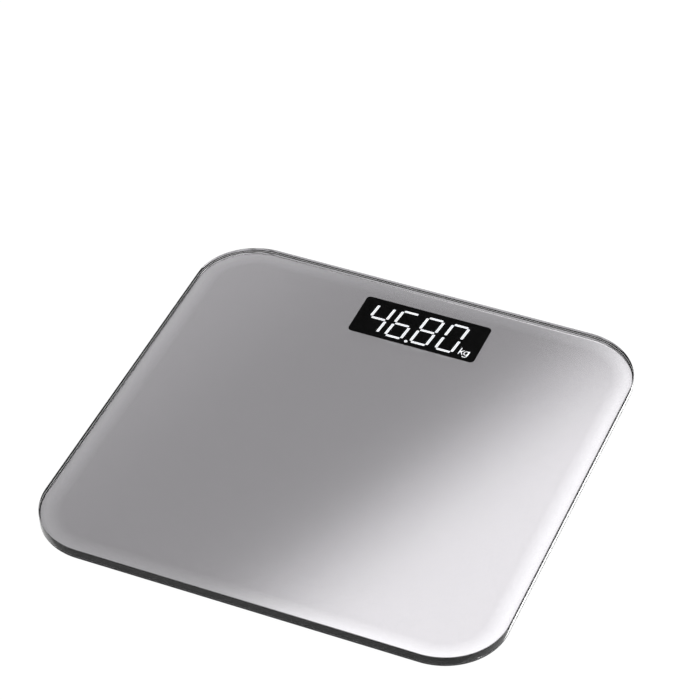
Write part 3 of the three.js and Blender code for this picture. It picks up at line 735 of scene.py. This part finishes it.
# --------------------------------------------------------------------------- inner pieces
def spline(points, step=1.2):
    """Smooth centripetal curve through the points."""
    P = [Vector(q) for q in points]
    P = [2 * P[0] - P[1]] + P + [2 * P[-1] - P[-2]]
    out_ = []
    for i in range(1, len(P) - 2):
        p0, p1, p2, p3 = P[i - 1:i + 3]
        t0, t1, t2 = [max((w_ - v_).length ** 0.5, 1e-6) for v_, w_ in ((p0, p1), (p1, p2), (p2, p3))]
        m1 = ((p1 - p0) / t0 - (p2 - p0) / (t0 + t1) + (p2 - p1) / t1) * t1
        m2 = ((p2 - p1) / t1 - (p3 - p1) / (t1 + t2) + (p3 - p2) / t2) * t1
        n = max(2, math.ceil((p2 - p1).length / step))
        for k in range(n):
            u = k / n
            u2, u3 = u * u, u * u * u
            out_.append((2 * u3 - 3 * u2 + 1) * p1 + (u3 - 2 * u2 + u) * m1 + (-2 * u3 + 3 * u2) * p2 + (u3 - u2) * m2)
    out_.append(P[-2])
    return out_


def tube(pts, radius, sides=12):
    """A closed round bar along the points; radius is a number or one number for each point."""
    P = [Vector(q) for q in pts]
    n = len(P)
    R = [radius] * n if isinstance(radius, (int, float)) else list(radius)
    T = []
    for i in range(n):
        d_ = P[min(i + 1, n - 1)] - P[max(i - 1, 0)]
        T.append(d_.normalized() if d_.length > 1e-9 else T[-1])
    ref = Vector((0, 0, 1)) if abs(T[0].z) < 0.9 else Vector((1, 0, 0))
    N = (ref - ref.dot(T[0]) * T[0]).normalized()
    rings_ = []

    def ring(c, nn, bb, rad):
        return [tuple(c + nn * (rad * math.cos(2 * math.pi * j / sides)) + bb * (rad * math.sin(2 * math.pi * j / sides))) for j in range(sides)]

    for i in range(n):
        N = (N - N.dot(T[i]) * T[i]).normalized()
        B = T[i].cross(N)
        if i == 0:
            rings_ += [ring(P[0], N, B, R[0] * 0.72), ring(P[0] + T[0] * R[0] * 0.1, N, B, R[0] * 0.92)]
            rings_.append(ring(P[0] + T[0] * R[0] * 0.3, N, B, R[0]))
        elif i == n - 1:
            rings_.append(ring(P[i] - T[i] * R[i] * 0.3, N, B, R[i]))
            rings_ += [ring(P[i] - T[i] * R[i] * 0.1, N, B, R[i] * 0.92), ring(P[i], N, B, R[i] * 0.72)]
        else:
            rings_.append(ring(P[i], N, B, R[i]))
    return loft(rings_)


def paint(ob, rule):
    """Gives each face the material slot that rule(centre, normal) names."""
    top = 0
    for q in ob.data.polygons:
        q.material_index = 0
    ks = [rule(q.center, q.normal) for q in ob.data.polygons]
    while len(ob.data.materials) < max(ks) + 1:
        ob.data.materials.append(None)
    for q, k in zip(ob.data.polygons, ks):
        q.material_index = k
    return ob


def copy_of(ob):
    c_ = ob.copy()
    c_.data = ob.data.copy()
    bpy.context.scene.collection.objects.link(c_)
    return c_


def across(ob, turn):
    """Turns a solid made about +Z to lie along X: its top to +X for turn = 1, to -X for turn = -1."""
    ob.data.transform(Matrix.Rotation(math.pi / 2 * turn, 4, "Y"))
    return ob


def screw(z_tip, z_seat, r_shank, r_head, h_head, r_root, pitch):
    """Pan-head self-tapping screw with a rolled thread and a cross recess."""
    prof = [(0, z_tip), (r_shank * 0.3, z_tip + 0.08)]
    z = z_tip + 0.75
    prof.append((r_root, z - 0.12))
    while z + pitch < z_seat - 0.15:
        prof += [(r_root, z), (r_shank, z + pitch * 0.40), (r_shank, z + pitch * 0.52), (r_root, z + pitch * 0.92)]
        z += pitch
    prof += [(r_shank, z_seat - 0.02), (r_shank, z_seat), (r_head, z_seat), (r_head, z_seat + h_head * 0.32), (r_head * 0.965, z_seat + h_head * 0.55),
             (r_head * 0.86, z_seat + h_head * 0.78), (r_head * 0.66, z_seat + h_head * 0.93), (r_head * 0.4, z_seat + h_head * 0.99), (0, z_seat + h_head)]
    ob = turned(prof, 40)
    zt = z_seat + h_head
    for w_, d_ in ((r_head * 1.12, r_head * 0.26), (r_head * 0.26, r_head * 1.12)):
        cut(ob, loft([[(x * k_, y * k_, z_) for x, y in ((-w_ / 2, -d_ / 2), (w_ / 2, -d_ / 2), (w_ / 2, d_ / 2), (-w_ / 2, d_ / 2))] for k_, z_ in ((0.42, zt - h_head * 0.62), (1.05, zt + 0.2))]))
    return clean(ob, 0.003)


foot_screw = screw(3.7, 10.52, 1.5, 3.0, 1.7, 1.24, 0.8)
board_screw = screw(7.4, 12.62, 1.15, 2.6, 1.4, 0.92, 0.62)

cell = prism(rr(34, 34, 3, 0, 0, 8), 9.0, 10.5)
cut(cell, prism([(9, 9), (-12, 9), (-12, -9), (9, -9), (9, -7.4), (-10.4, -7.4), (-10.4, 7.4), (9, 7.4)], 5, 15))
cut(cell, rod(1.85, 5, 15, 32))
cell = bevel(cell, 0.14, 2, 40)

gauge = loft([[(x, y, z) for x, y in rr(5 - 2 * i_, 8 - 2 * i_, 1.2 - i_ if i_ < 1 else 0.2, 10.9, 0, 8)] for i_, z in ((0.1, 10.52), (0.0, 10.62), (0.02, 10.85), (0.16, 11.08), (0.45, 11.27), (0.95, 11.37), (1.6, 11.4))])

mount = prism(rr(38, 38, 4, 0, 0, 10), 9.02, 18.73)
cut(mount, prism(rr(28, 28, 2, 0, 0, 8), 0, 30))
cut(mount, prism(rr(34.4, 34.4, 3.2, 0, 0, 8), 0, 11.2))
cut(mount, boxm(10, 25, -2.6, 2.6, 0, 14))
for sx in (-1, 1):
    for sy in (-1, 1):
        cut(mount, rod(0.9, 15.7, 30, 20, sx * 16.3, sy * 16.3))
mount = bevel(mount, 0.2, 2, 40)

for corner, (x, y, turn) in CORNERS.items():
    unit = f"foot_{corner}_unit"
    done(moved(copy_of(foot_screw), x, y), f"pan_screw_{corner}", unit, ZINC, f"foot_screw_{corner}", slot="zinc_screw", angle=30)
    done(moved(copy_of(cell), x, y, 0, turn), f"cell_plate_{corner}", unit, STEEL, f"load_cell_{corner}", slot="load_cell_steel", angle=30)
    done(moved(copy_of(gauge), x, y, 0, turn), f"gauge_potting_{corner}", unit, GAUGE, f"strain_gauge_{corner}", slot="gauge", angle=50)
    done(moved(copy_of(mount), x, y, 0, turn), f"cell_frame_{corner}", BODY, MOUNT, f"cell_mount_{corner}", slot="cell_mount", angle=30)
for i, (x, y) in enumerate(((-36, 78), (44, 78), (-36, 110), (44, 110))):
    done(moved(copy_of(board_screw), x, y), f"small_screw_{i + 1}", BODY, ZINC, f"board_screw_{i + 1}", slot="zinc_screw", angle=30)
for o_ in (foot_screw, board_screw, cell, gauge, mount):
    bpy.data.objects.remove(o_, do_unlink=True)

# leads: round jacket, then a short tinned end with a mound of solder
BT = 12.6  # top of the board
TIN = metal("tinned_end", (0.62, 0.62, 0.61), (0.74, 0.74, 0.73), (0.2, 0.34), 500, (1, 1, 1), 0.1)


def wired(points, r_jacket, name, jacket, node, slot, solder=True):
    pts = spline(points)
    total = [0.0]
    for v_, w_ in zip(pts, pts[1:]):
        total.append(total[-1] + (w_ - v_).length)
    end_ = total[-1]
    keep_p, keep_r = [], []
    for q, t_ in zip(pts, total):
        if t_ < end_ - 3.0:
            keep_p.append(q)
            keep_r.append(r_jacket)
    d_ = (pts[-1] - pts[-2]).normalized()
    for back_, rad in ((2.8, r_jacket), (2.75, r_jacket * 0.98), (2.7, r_jacket * 0.5), (1.6, r_jacket * 0.5), (1.0, r_jacket * 0.52), (0.0, r_jacket * 0.52)):
        keep_p.append(pts[-1] - d_ * back_)
        keep_r.append(rad)
    ob = tube(keep_p, keep_r, 14)
    tip = pts[-1]
    if solder:
        zc = BT + 0.02
        join(ob, turned([(0, zc), (1.5, zc), (1.42, zc + 0.12), (1.05, zc + 0.5), (0.85, zc + 0.95), (0.7, zc + 1.35), (0.45, zc + 1.62), (0, zc + 1.72)], 28, tip.x - d_.x * 0.5, tip.y - d_.y * 0.5))
    clean(ob, 0.003)
    cut_at = [tip - d_ * 2.74]
    paint(ob, lambda c_, n_: 1 if (c_ - cut_at[0]).dot(d_) > 0 and (c_ - tip).length < 4.5 else 0)
    done(ob, name, BODY, [jacket, TIN], node, slot=slot, angle=40)


lb, lz = 13.8, 9.5
wired([(-74, -88, 12.4), (-67, -88, 12), (-60, -85, 10), (-56, -76, lz), (-54, -40, lz), (-53, 0, lz), (-51, 45, lz), (-44, 61, lz), (-35, 68, 10), (-31.6, 69.8, 12.4), (-31, 73, lb), (-31, 79, lb)], 0.8, "wire_front_left", GREY_LEAD, "cell_lead_front_left", "lead_grey")
wired([(74, -88, 12.4), (67, -88, 12), (60, -85, 10), (56, -76, lz), (54, -40, lz), (53, 0, lz), (52, 45, lz), (47, 61, lz), (41, 68, 10), (39.2, 69.8, 12.4), (39, 73, lb), (39, 79, lb)], 0.8, "wire_front_right", GREY_LEAD, "cell_lead_front_right", "lead_grey")
wired([(-74, 88, 12.4), (-66, 88, 12.2), (-56, 90, 12.2), (-46, 92, lb), (-40, 92.5, lb), (-35, 92.5, lb)], 0.8, "wire_back_left", GREY_LEAD, "cell_lead_back_left", "lead_grey")
wired([(74, 88, 12.4), (68, 88, 12.2), (61, 90, 12.2), (53, 92, lb), (48, 92.5, lb), (44, 92.5, lb)], 0.8, "wire_back_right", GREY_LEAD, "cell_lead_back_right", "lead_grey")
wired([(27.1, 28.5, 15.1), (30.5, 28.5, 14.9), (34.2, 32, 12.5), (35.5, 42, 9.4), (35, 58, 8.6), (28, 68, 9.4), (21.5, 71.2, 12), (20, 74.5, 13.7), (20, 79, 13.7)], 0.75, "wire_red", RED_LEAD, "battery_lead_red", "lead_red")
wired([(-27.1, 51.5, 15.1), (-30.5, 51.5, 14.9), (-34, 55, 12.5), (-33, 63, 9.2), (-25, 68.5, 9.6), (-18, 71.2, 12), (-16, 74.5, 13.7), (-16, 79, 13.7)], 0.75, "wire_black", BLACK_LEAD, "battery_lead_black", "lead_black")

# board with plated holes and its small soldered parts
PART = plastic("small_parts", (0.05, 0.045, 0.04), (0.12, 0.10, 0.08), (0.3, 0.45), 1500, 0.00001, 0.1)
board = prism(rr(90, 40, 1.2, 4, 94.5, 6), 11.0, BT)
for x, y in ((-36, 78), (44, 78), (-36, 110), (44, 110)):
    cut(board, rod(1.6, 5, 20, 24, x, y))
board = bevel(board, 0.1, 1, 40)
small = []
for x, y, w_, d_, h_ in ((-24, 79, 2.0, 1.25, 0.55), (-24, 82, 2.0, 1.25, 0.55), (-10, 77, 1.25, 2.0, 0.5), (-7, 77, 1.25, 2.0, 0.5), (-10, 82, 2.0, 1.25, 0.6), (14, 77, 1.25, 2.0, 0.55), (14, 81.5, 2.0, 1.25, 0.55),
                         (25, 79, 2.0, 1.25, 0.6), (25, 82, 2.0, 1.25, 0.6), (34, 77.5, 1.25, 2.0, 0.5), (34, 81.5, 2.0, 1.25, 0.5), (-35, 84, 2.0, 1.25, 0.5), (-35, 98, 1.25, 2.0, 0.5), (44.5, 98.5, 1.25, 2.0, 0.5), (44.5, 86, 2.0, 1.25, 0.5)):
    join(board, boxm(x - w_ / 2, x + w_ / 2, y - d_ / 2, y + d_ / 2, BT - 0.1, BT + h_))
    small.append((x, y, w_, d_))
    lx = w_ > d_
    for s_ in (-1, 1):
        ex, ey = (x + s_ * w_ / 2, y) if lx else (x, y + s_ * d_ / 2)
        hw, hd = (0.35, d_ / 2 + 0.05) if lx else (w_ / 2 + 0.05, 0.35)
        join(board, loft([[(ex + a_ * hw * k_, ey + b_ * hd * k_, z_) for a_, b_ in ((-1, -1), (1, -1), (1, 1), (-1, 1))] for k_, z_ in ((1.15, BT - 0.1), (1.15, BT + 0.06), (0.8, BT + h_ + 0.03))]))


def board_slot(c_, n_):
    if c_.z < BT + 0.01:
        r_ = min(math.hypot(c_.x - x, c_.y - y) for x, y in ((-36, 78), (44, 78), (-36, 110), (44, 110)))
        return 2 if r_ < 1.7 else 0
    for x, y, w_, d_ in small:
        if abs(c_.x - x) < w_ / 2 + 0.6 and abs(c_.y - y) < d_ / 2 + 0.6:
            along = abs(c_.x - x) / (w_ / 2) if w_ > d_ else abs(c_.y - y) / (d_ / 2)
            return 2 if along > 0.62 else 1
    return 0


clean(board, 0.003)
done(paint(board, board_slot), "readout_board", BODY, [BOARD, PART, TIN], "control_board", slot="board", angle=30)

# controller: moulded body with a pin-one dimple and two rows of legs
chip = bevel(boxm(-0.5, 10.5, 77.0, 82.0, 12.78, 14.58), 0.22, 2, 40)
cut(chip, turned([(0, 14.4), (0.35, 14.42), (0.45, 14.8), (0, 14.8)], 20, 0.6, 78.0))
for i in range(8):
    x = 0.35 + i * 1.33
    for sy, yb in ((-1, 77.0), (1, 82.0)):
        leg = [(yb - sy * 0.2, 13.75), (yb + sy * 0.42, 13.75), (yb + sy * 0.52, 13.68), (yb + sy * 0.72, 12.85), (yb + sy * 1.15, 12.83), (yb + sy * 1.15, 12.64), (yb + sy * 0.6, 12.64), (yb + sy * 0.5, 12.7), (yb + sy * 0.33, 13.52), (yb - sy * 0.2, 13.52)]
        join(chip, loft([[(x + o_, q_[0], q_[1]) for q_ in leg] for o_ in (-0.22, 0.22)]))
clean(chip, 0.003)
done(paint(chip, lambda c_, n_: 1 if (c_.y < 76.97 or c_.y > 82.03) else 0), "controller", BODY, [CHIP, TIN], "controller_chip", slot="chip", angle=30)

# push switch under the board: black base, pressed metal cover with four rivets
sw = bevel(boxm(27, 33, 77, 83, 7.82, 10.98), 0.2, 2, 40)
join(sw, bevel(boxm(27.12, 32.88, 77.12, 82.88, 7.56, 8.1), 0.16, 2, 40))
for sx in (-1, 1):
    for sy in (-1, 1):
        join(sw, turned([(0, 7.9), (0.42, 7.9), (0.42, 7.62), (0.36, 7.53), (0.2, 7.5), (0, 7.5)], 16, 30 + sx * 2.2, 80 + sy * 2.2))
cut(sw, rod(1.9, 7, 9.2, 36, 30, 80))
clean(sw, 0.003)
done(paint(sw, lambda c_, n_: 1 if c_.z < 7.9 and math.hypot(c_.x - 30, c_.y - 80) > 1.88 else 0), "push_switch", BODY, [CHIP, NICKEL], "unit_switch", slot="switch_body", angle=30)
done(turned([(0, 6.75), (1.3, 6.75), (1.6, 6.83), (1.72, 7.0), (1.75, 7.2), (1.75, 8.1), (1.65, 8.2), (0, 8.2)], 40, 30, 80), "switch_plunger", "unit_button_unit", STEM, "unit_switch_stem", slot="switch_stem", angle=40)

# dry cells: shrunk jacket over the can's shoulders, lighter band at the positive end, bare caps
BH = 21.65
cap_p = [(0, -BH + 0.22), (2.3, -BH + 0.22), (2.7, -BH + 0.02), (3.1, -BH), (4.15, -BH), (4.4, -BH + 0.12), (4.46, -BH + 0.3),
         (4.56, -BH + 0.12), (4.85, -BH + 0.14), (5.06, -BH + 0.32), (5.17, -BH + 0.6), (5.2, -BH + 0.95), (5.2, BH - 8.6), (5.2, BH - 1.05), (5.17, BH - 0.72), (5.05, BH - 0.4), (4.85, BH - 0.18), (4.6, BH - 0.1),
         (4.46, BH - 0.3), (4.2, BH - 0.36), (2.75, BH - 0.36), (2.35, BH - 0.24), (2.02, BH + 0.05), (1.9, BH + 0.6), (1.84, BH + 0.82), (1.66, BH + 0.96), (1.4, BH + 1.0), (0, BH + 1.0)]
for i, turn in enumerate((1, -1, 1)):
    ob = turned(cap_p, 72)
    paint(ob, lambda c_, n_: 2 if math.hypot(c_.x, c_.y) < 4.5 else (1 if c_.z > BH - 8.6 else 0))
    across(ob, turn)
    moved(ob, turn * 1.4, (28.5, 40.0, 51.5)[i], 11.6)
    done(ob, f"dry_cell_{i + 1}", BODY, [JACKET, BAND, TIN], f"battery_{i + 1}", slot="battery_jacket", angle=35)


# battery contacts: pressed plates with a domed pip for the positive end, a conical spring for the negative
def contact(y_a, y_b, x, pips, springs):
    w_, cy_ = (y_b - y_a) + 8.8, (y_a + y_b) / 2
    ob = prism(rr(8.8, w_, 1.4, 0, 0, 8), -0.2, 0.2)
    ob = bevel(ob, 0.06, 2, 40)
    ob.data.transform(Matrix.Rotation(math.pi / 2, 4, "Y"))
    ob.data.transform(Matrix.Translation((x, cy_, 11.8)))
    side = -1 if x > 0 else 1
    for y in pips:
        pip = turned([(0, 0.1), (3.0, 0.1), (2.95, 0.26), (2.8, 0.36), (2.55, 0.5), (2.3, 0.6), (1.9, 0.65), (0, 0.65)], 40)
        across(pip, side)
        moved(pip, x, y, 11.6)
        join(ob, pip)
    for y in springs:
        xs, xe = x + side * 0.3, x + side * (0.25 + 3.9)
        n, turns = 96, 3
        pts = []
        for j in range(n + 1):
            u = j / n
            a_ = 2 * math.pi * turns * u
            r_ = 3.6 - 1.5 * u
            # closed end turns, open in the middle
            v_ = min(max((u - 0.10) / 0.74, 0.0), 1.0)
            pts.append((xs + (xe - xs) * v_, y + r_ * math.cos(a_), 11.6 + r_ * math.sin(a_)))
        join(ob, tube(pts, 0.4, 12))
    clean(ob, 0.003)
    return ob


done(contact(28.5, 28.5, 24.8, (28.5,), ()), "plate_positive", BODY, NICKEL, "contact_positive", slot="nickel_contact", angle=30)
done(contact(40.0, 51.5, 24.8, (51.5,), (40.0,)), "plate_link_right", BODY, NICKEL, "contact_link_right", slot="nickel_contact", angle=30)
done(contact(28.5, 40.0, -24.8, (40.0,), (28.5,)), "plate_link_left", BODY, NICKEL, "contact_link_left", slot="nickel_contact", angle=30)
done(contact(51.5, 51.5, -24.8, (), (51.5,)), "plate_negative", BODY, NICKEL, "contact_negative", slot="nickel_contact", angle=30)


# --------------------------------------------------------------------------- carried-over CAD nodes
def finish_node(name, material, width=0.0, seg=2, angle=30):
    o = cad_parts[name]
    o.data.materials.clear()
    o.data.materials.append(material)
    if width:
        md = o.modifiers.new("edges", "BEVEL")
        md.width, md.segments, md.limit_method, md.angle_limit = width * MM, seg, "ANGLE", math.radians(angle)


finish_node("led_case", LED_CASE, 0.08)
finish_node("segment_light_guide", GUIDE)
finish_node("readout_gasket", FOAM, 0.2)

# --------------------------------------------------------------------------- floor, lights
fm = bpy.data.materials.new("pale_floor")
fm.use_nodes = True
nt = fm.node_tree
nt.nodes.clear()
out = nt.nodes.new("ShaderNodeOutputMaterial")
mixer = nt.nodes.new("ShaderNodeMixShader")
add = nt.nodes.new("ShaderNodeAddShader")
dif = nt.nodes.new("ShaderNodeBsdfDiffuse")
dif.inputs[0].default_value = (0.05, 0.05, 0.05, 1)
emi = nt.nodes.new("ShaderNodeEmission")
emi.inputs[1].default_value = 1.0
tra = nt.nodes.new("ShaderNodeBsdfTransparent")
geo = nt.nodes.new("ShaderNodeNewGeometry")
nt.links.new(dif.outputs[0], add.inputs[0])
nt.links.new(emi.outputs[0], add.inputs[1])
nt.links.new(geo.outputs["Backfacing"], mixer.inputs[0])
nt.links.new(add.outputs[0], mixer.inputs[1])
nt.links.new(tra.outputs[0], mixer.inputs[2])
nt.links.new(mixer.outputs[0], out.inputs[0])
me = bpy.data.meshes.new("floor")
me.from_pydata([(-4, -4, 0), (4, -4, 0), (4, 4, 0), (-4, 4, 0)], [], [(0, 1, 2, 3)])
floor = bpy.data.objects.new("floor", me)
floor.location.z = -0.0002
me.materials.append(fm)
bpy.context.scene.collection.objects.link(floor)
floor.visible_diffuse = False
floor.visible_shadow = False

# the floor that the object's own light bounces from
fm2 = bpy.data.materials.new("floor_bounce")
fm2.use_nodes = True
nt = fm2.node_tree
nt.nodes.clear()
out = nt.nodes.new("ShaderNodeOutputMaterial")
mixer = nt.nodes.new("ShaderNodeMixShader")
dif = nt.nodes.new("ShaderNodeBsdfDiffuse")
dif.inputs[0].default_value = (0.75, 0.75, 0.75, 1)
tra = nt.nodes.new("ShaderNodeBsdfTransparent")
geo = nt.nodes.new("ShaderNodeNewGeometry")
nt.links.new(geo.outputs["Backfacing"], mixer.inputs[0])
nt.links.new(dif.outputs[0], mixer.inputs[1])
nt.links.new(tra.outputs[0], mixer.inputs[2])
nt.links.new(mixer.outputs[0], out.inputs[0])
me = bpy.data.meshes.new("floor_bounce")
me.from_pydata([(-4, -4, 0), (4, -4, 0), (4, 4, 0), (-4, 4, 0)], [], [(0, 1, 2, 3)])
floor2 = bpy.data.objects.new("floor_bounce", me)
floor2.location.z = -0.0003
me.materials.append(fm2)
bpy.context.scene.collection.objects.link(floor2)
floor2.visible_camera = False
floor2.visible_glossy = False
floor2.visible_transmission = False
floor2.visible_shadow = False

world = bpy.data.worlds.new("studio")
bpy.context.scene.world = world
world.use_nodes = True
bgn = world.node_tree.nodes["Background"]
bgn.inputs[0].default_value = (1.0, 1.0, 1.0, 1)
# the studio above is dim in mirror reflections, so that the glass keeps a clear dark window
wt = world.node_tree
lp = wt.nodes.new("ShaderNodeLightPath")
wco = wt.nodes.new("ShaderNodeTexCoord")
wsep = wt.nodes.new("ShaderNodeSeparateXYZ")
wt.links.new(wco.outputs["Generated"], wsep.inputs[0])
wup = wt.nodes.new("ShaderNodeMapRange")
wup.interpolation_type = "SMOOTHSTEP"
wup.inputs["From Min"].default_value, wup.inputs["From Max"].default_value = -0.1, 0.35
wup.inputs["To Min"].default_value, wup.inputs["To Max"].default_value = 0.0, 0.39
wt.links.new(wsep.outputs[2], wup.inputs["Value"])
wmul = wt.nodes.new("ShaderNodeMath")
wmul.operation = "MULTIPLY"
wrefl = wt.nodes.new("ShaderNodeMath")
wrefl.operation = "SUBTRACT"
wrefl.use_clamp = True
wt.links.new(lp.outputs["Is Glossy Ray"], wrefl.inputs[0])
wt.links.new(lp.outputs["Is Transmission Ray"], wrefl.inputs[1])
wt.links.new(wrefl.outputs[0], wmul.inputs[0])
wt.links.new(wup.outputs[0], wmul.inputs[1])
wsub = wt.nodes.new("ShaderNodeMath")
wsub.operation = "SUBTRACT"
wsub.inputs[0].default_value = 0.42
wt.links.new(wmul.outputs[0], wsub.inputs[1])
# soft light and dark areas round the studio, even behind the object where the main softbox stands
mirror = Vector((-math.sin(az) * math.cos(el), math.cos(az) * math.cos(el), math.sin(el)))
wnoise = wt.nodes.new("ShaderNodeTexNoise")
wnoise.inputs["Scale"].default_value = 4.5
wnoise.inputs["Detail"].default_value = 0.0
wt.links.new(wco.outputs["Generated"], wnoise.inputs["Vector"])
wtone = wt.nodes.new("ShaderNodeMapRange")
wtone.interpolation_type = "SMOOTHSTEP"
wtone.inputs["From Min"].default_value, wtone.inputs["From Max"].default_value = 0.38, 0.62
wtone.inputs["To Min"].default_value, wtone.inputs["To Max"].default_value = 0.55, 1.75
wt.links.new(wnoise.outputs["Fac"], wtone.inputs["Value"])
wdot = wt.nodes.new("ShaderNodeVectorMath")
wdot.operation = "DOT_PRODUCT"
wdot.inputs[1].default_value = mirror
wt.links.new(wco.outputs["Generated"], wdot.inputs[0])
wmask = wt.nodes.new("ShaderNodeMapRange")
wmask.interpolation_type = "SMOOTHSTEP"
wmask.inputs["From Min"].default_value, wmask.inputs["From Max"].default_value = 0.9, 0.65
wt.links.new(wdot.outputs["Value"], wmask.inputs["Value"])
wmix = wt.nodes.new("ShaderNodeMix")
wmix.inputs[2].default_value = 1.0
wt.links.new(wmask.outputs[0], wmix.inputs[0])
wt.links.new(wtone.outputs[0], wmix.inputs[3])
wfin = wt.nodes.new("ShaderNodeMath")
wfin.operation = "MULTIPLY"
wt.links.new(wsub.outputs[0], wfin.inputs[0])
wt.links.new(wmix.outputs[0], wfin.inputs[1])
# the backdrop itself is plain white
wcam = wt.nodes.new("ShaderNodeMix")
wcam.inputs[3].default_value = 1.0
wt.links.new(lp.outputs["Is Camera Ray"], wcam.inputs[0])
wt.links.new(wfin.outputs[0], wcam.inputs[2])
wt.links.new(wcam.outputs[0], bgn.inputs[1])

# softbox opposite the camera, its brightness rising to one side
vside = (Vector((0, 0, 1)) - mirror.z * mirror).normalized()
uside = right
L = 0.5
c0 = Vector((0, 0, 0.024)) + mirror * L
hu, hv = 0.55, 0.45
corners_ = [c0 + uside * a * hu + vside * b * hv for a, b in ((-1, -1), (1, -1), (1, 1), (-1, 1))]
me = bpy.data.meshes.new("softbox")
me.from_pydata([tuple(p) for p in corners_], [], [(0, 1, 2, 3)])
uvl = me.uv_layers.new(name="uv")
for li, uv in zip(me.polygons[0].loop_indices, ((0, 0), (1, 0), (1, 1), (0, 1))):
    uvl.data[li].uv = uv
sb = bpy.data.objects.new("softbox", me)
bpy.context.scene.collection.objects.link(sb)
sm = bpy.data.materials.new("softbox")
sm.use_nodes = True
nt = sm.node_tree
nt.nodes.clear()
out = nt.nodes.new("ShaderNodeOutputMaterial")
emi = nt.nodes.new("ShaderNodeEmission")
uvn = nt.nodes.new("ShaderNodeUVMap")
sx = nt.nodes.new("ShaderNodeSeparateXYZ")
nt.links.new(uvn.outputs[0], sx.inputs[0])


def mnode(op, a, b=None):
    n = nt.nodes.new("ShaderNodeMath")
    n.operation = op
    for i, v_ in enumerate((a, b)):
        if v_ is None:
            continue
        if isinstance(v_, (int, float)):
            n.inputs[i].default_value = v_
        else:
            nt.links.new(v_, n.inputs[i])
    return n.outputs[0]


gu, gv = 0.6, 0.8  # direction of the rise
uu = mnode("MULTIPLY", mnode("SUBTRACT", sx.outputs[0], 0.5), 2 * hu * gu)
vv = mnode("MULTIPLY", mnode("SUBTRACT", sx.outputs[1], 0.5), 2 * hv * gv)
dd = mnode("ADD", uu, vv)


def glow(start, end, strength):
    """A soft-edged lamp behind the diffuser, growing from start to end along the rise."""
    n = nt.nodes.new("ShaderNodeMapRange")
    n.interpolation_type = "SMOOTHSTEP"
    n.inputs["From Min"].default_value, n.inputs["From Max"].default_value = start, end
    n.inputs["To Min"].default_value, n.inputs["To Max"].default_value = 0.0, strength
    nt.links.new(dd, n.inputs["Value"])
    return n.outputs[0]


# an even diffuser with a bright lamp at one end and a weak one at the other
nt.links.new(mnode("ADD", mnode("ADD", glow(0.03, 0.12, 1.0), glow(-0.05, -0.15, 0.15)), 0.5), emi.inputs[1])
nt.links.new(emi.outputs[0], out.inputs[0])
me.materials.append(sm)
sb.visible_camera = False
sb.visible_shadow = False
sb.visible_diffuse = False
sb.visible_glossy = False


# studio cards lying by the scale, seen only in mirror reflections on the glass edge:
# a grey one in front, a light one along the right side
def card(name, x0, x1, y0, y1, strength):
    me_ = bpy.data.meshes.new(name)
    me_.from_pydata([(x0, y0, 0.0004), (x1, y0, 0.0004), (x1, y1, 0.0004), (x0, y1, 0.0004)], [], [(0, 1, 2, 3)])
    o_ = bpy.data.objects.new(name, me_)
    bpy.context.scene.collection.objects.link(o_)
    m_ = bpy.data.materials.new(name)
    m_.use_nodes = True
    t_ = m_.node_tree
    t_.nodes.clear()
    e_ = t_.nodes.new("ShaderNodeEmission")
    e_.inputs[0].default_value = (1, 1, 1, 1)
    e_.inputs[1].default_value = strength
    q_ = t_.nodes.new("ShaderNodeOutputMaterial")
    t_.links.new(e_.outputs[0], q_.inputs[0])
    me_.materials.append(m_)
    o_.visible_camera = False
    o_.visible_shadow = False
    o_.visible_diffuse = False
    o_.visible_transmission = False


card("card_front", -0.30, 0.165, -0.34, -0.1305, 0.6)
card("card_right", 0.1305, 0.1364, -0.118, 0.32, 3.6)
card("card_dark", 0.1364, 0.150, -0.078, 0.32, 0.03)
card("card_corner", 0.1364, 0.165, -0.1305, -0.078, 0.85)
card("card_corner_inner", 0.1305, 0.1364, -0.1305, -0.118, 0.85)


def area(name, loc, target, size, power):
    ld = bpy.data.lights.new(name, "AREA")
    ld.shape = "DISK"
    ld.size = size
    ld.energy = power
    o = bpy.data.objects.new(name, ld)
    o.location = loc
    d = Vector(target) - Vector(loc)
    o.rotation_euler = d.to_track_quat("-Z", "Y").to_euler()
    bpy.context.scene.collection.objects.link(o)
    return o


key = area("key", (0.6, -0.9, 1.9), (0, 0, 0), 1.2, 22)
key.visible_glossy = False
key.visible_transmission = False
area("under_rake", (-1.15, 0.55, -0.62), (0, 0, 0), 0.5, 26)
area("under_fill", (0.7, -0.8, -1.3), (0, 0, 0), 1.2, 9)

sc = bpy.context.scene
sc.view_settings.view_transform = "Standard"
sc.view_settings.look = "None"
sc.view_settings.exposure = 0
sc.view_settings.gamma = 1
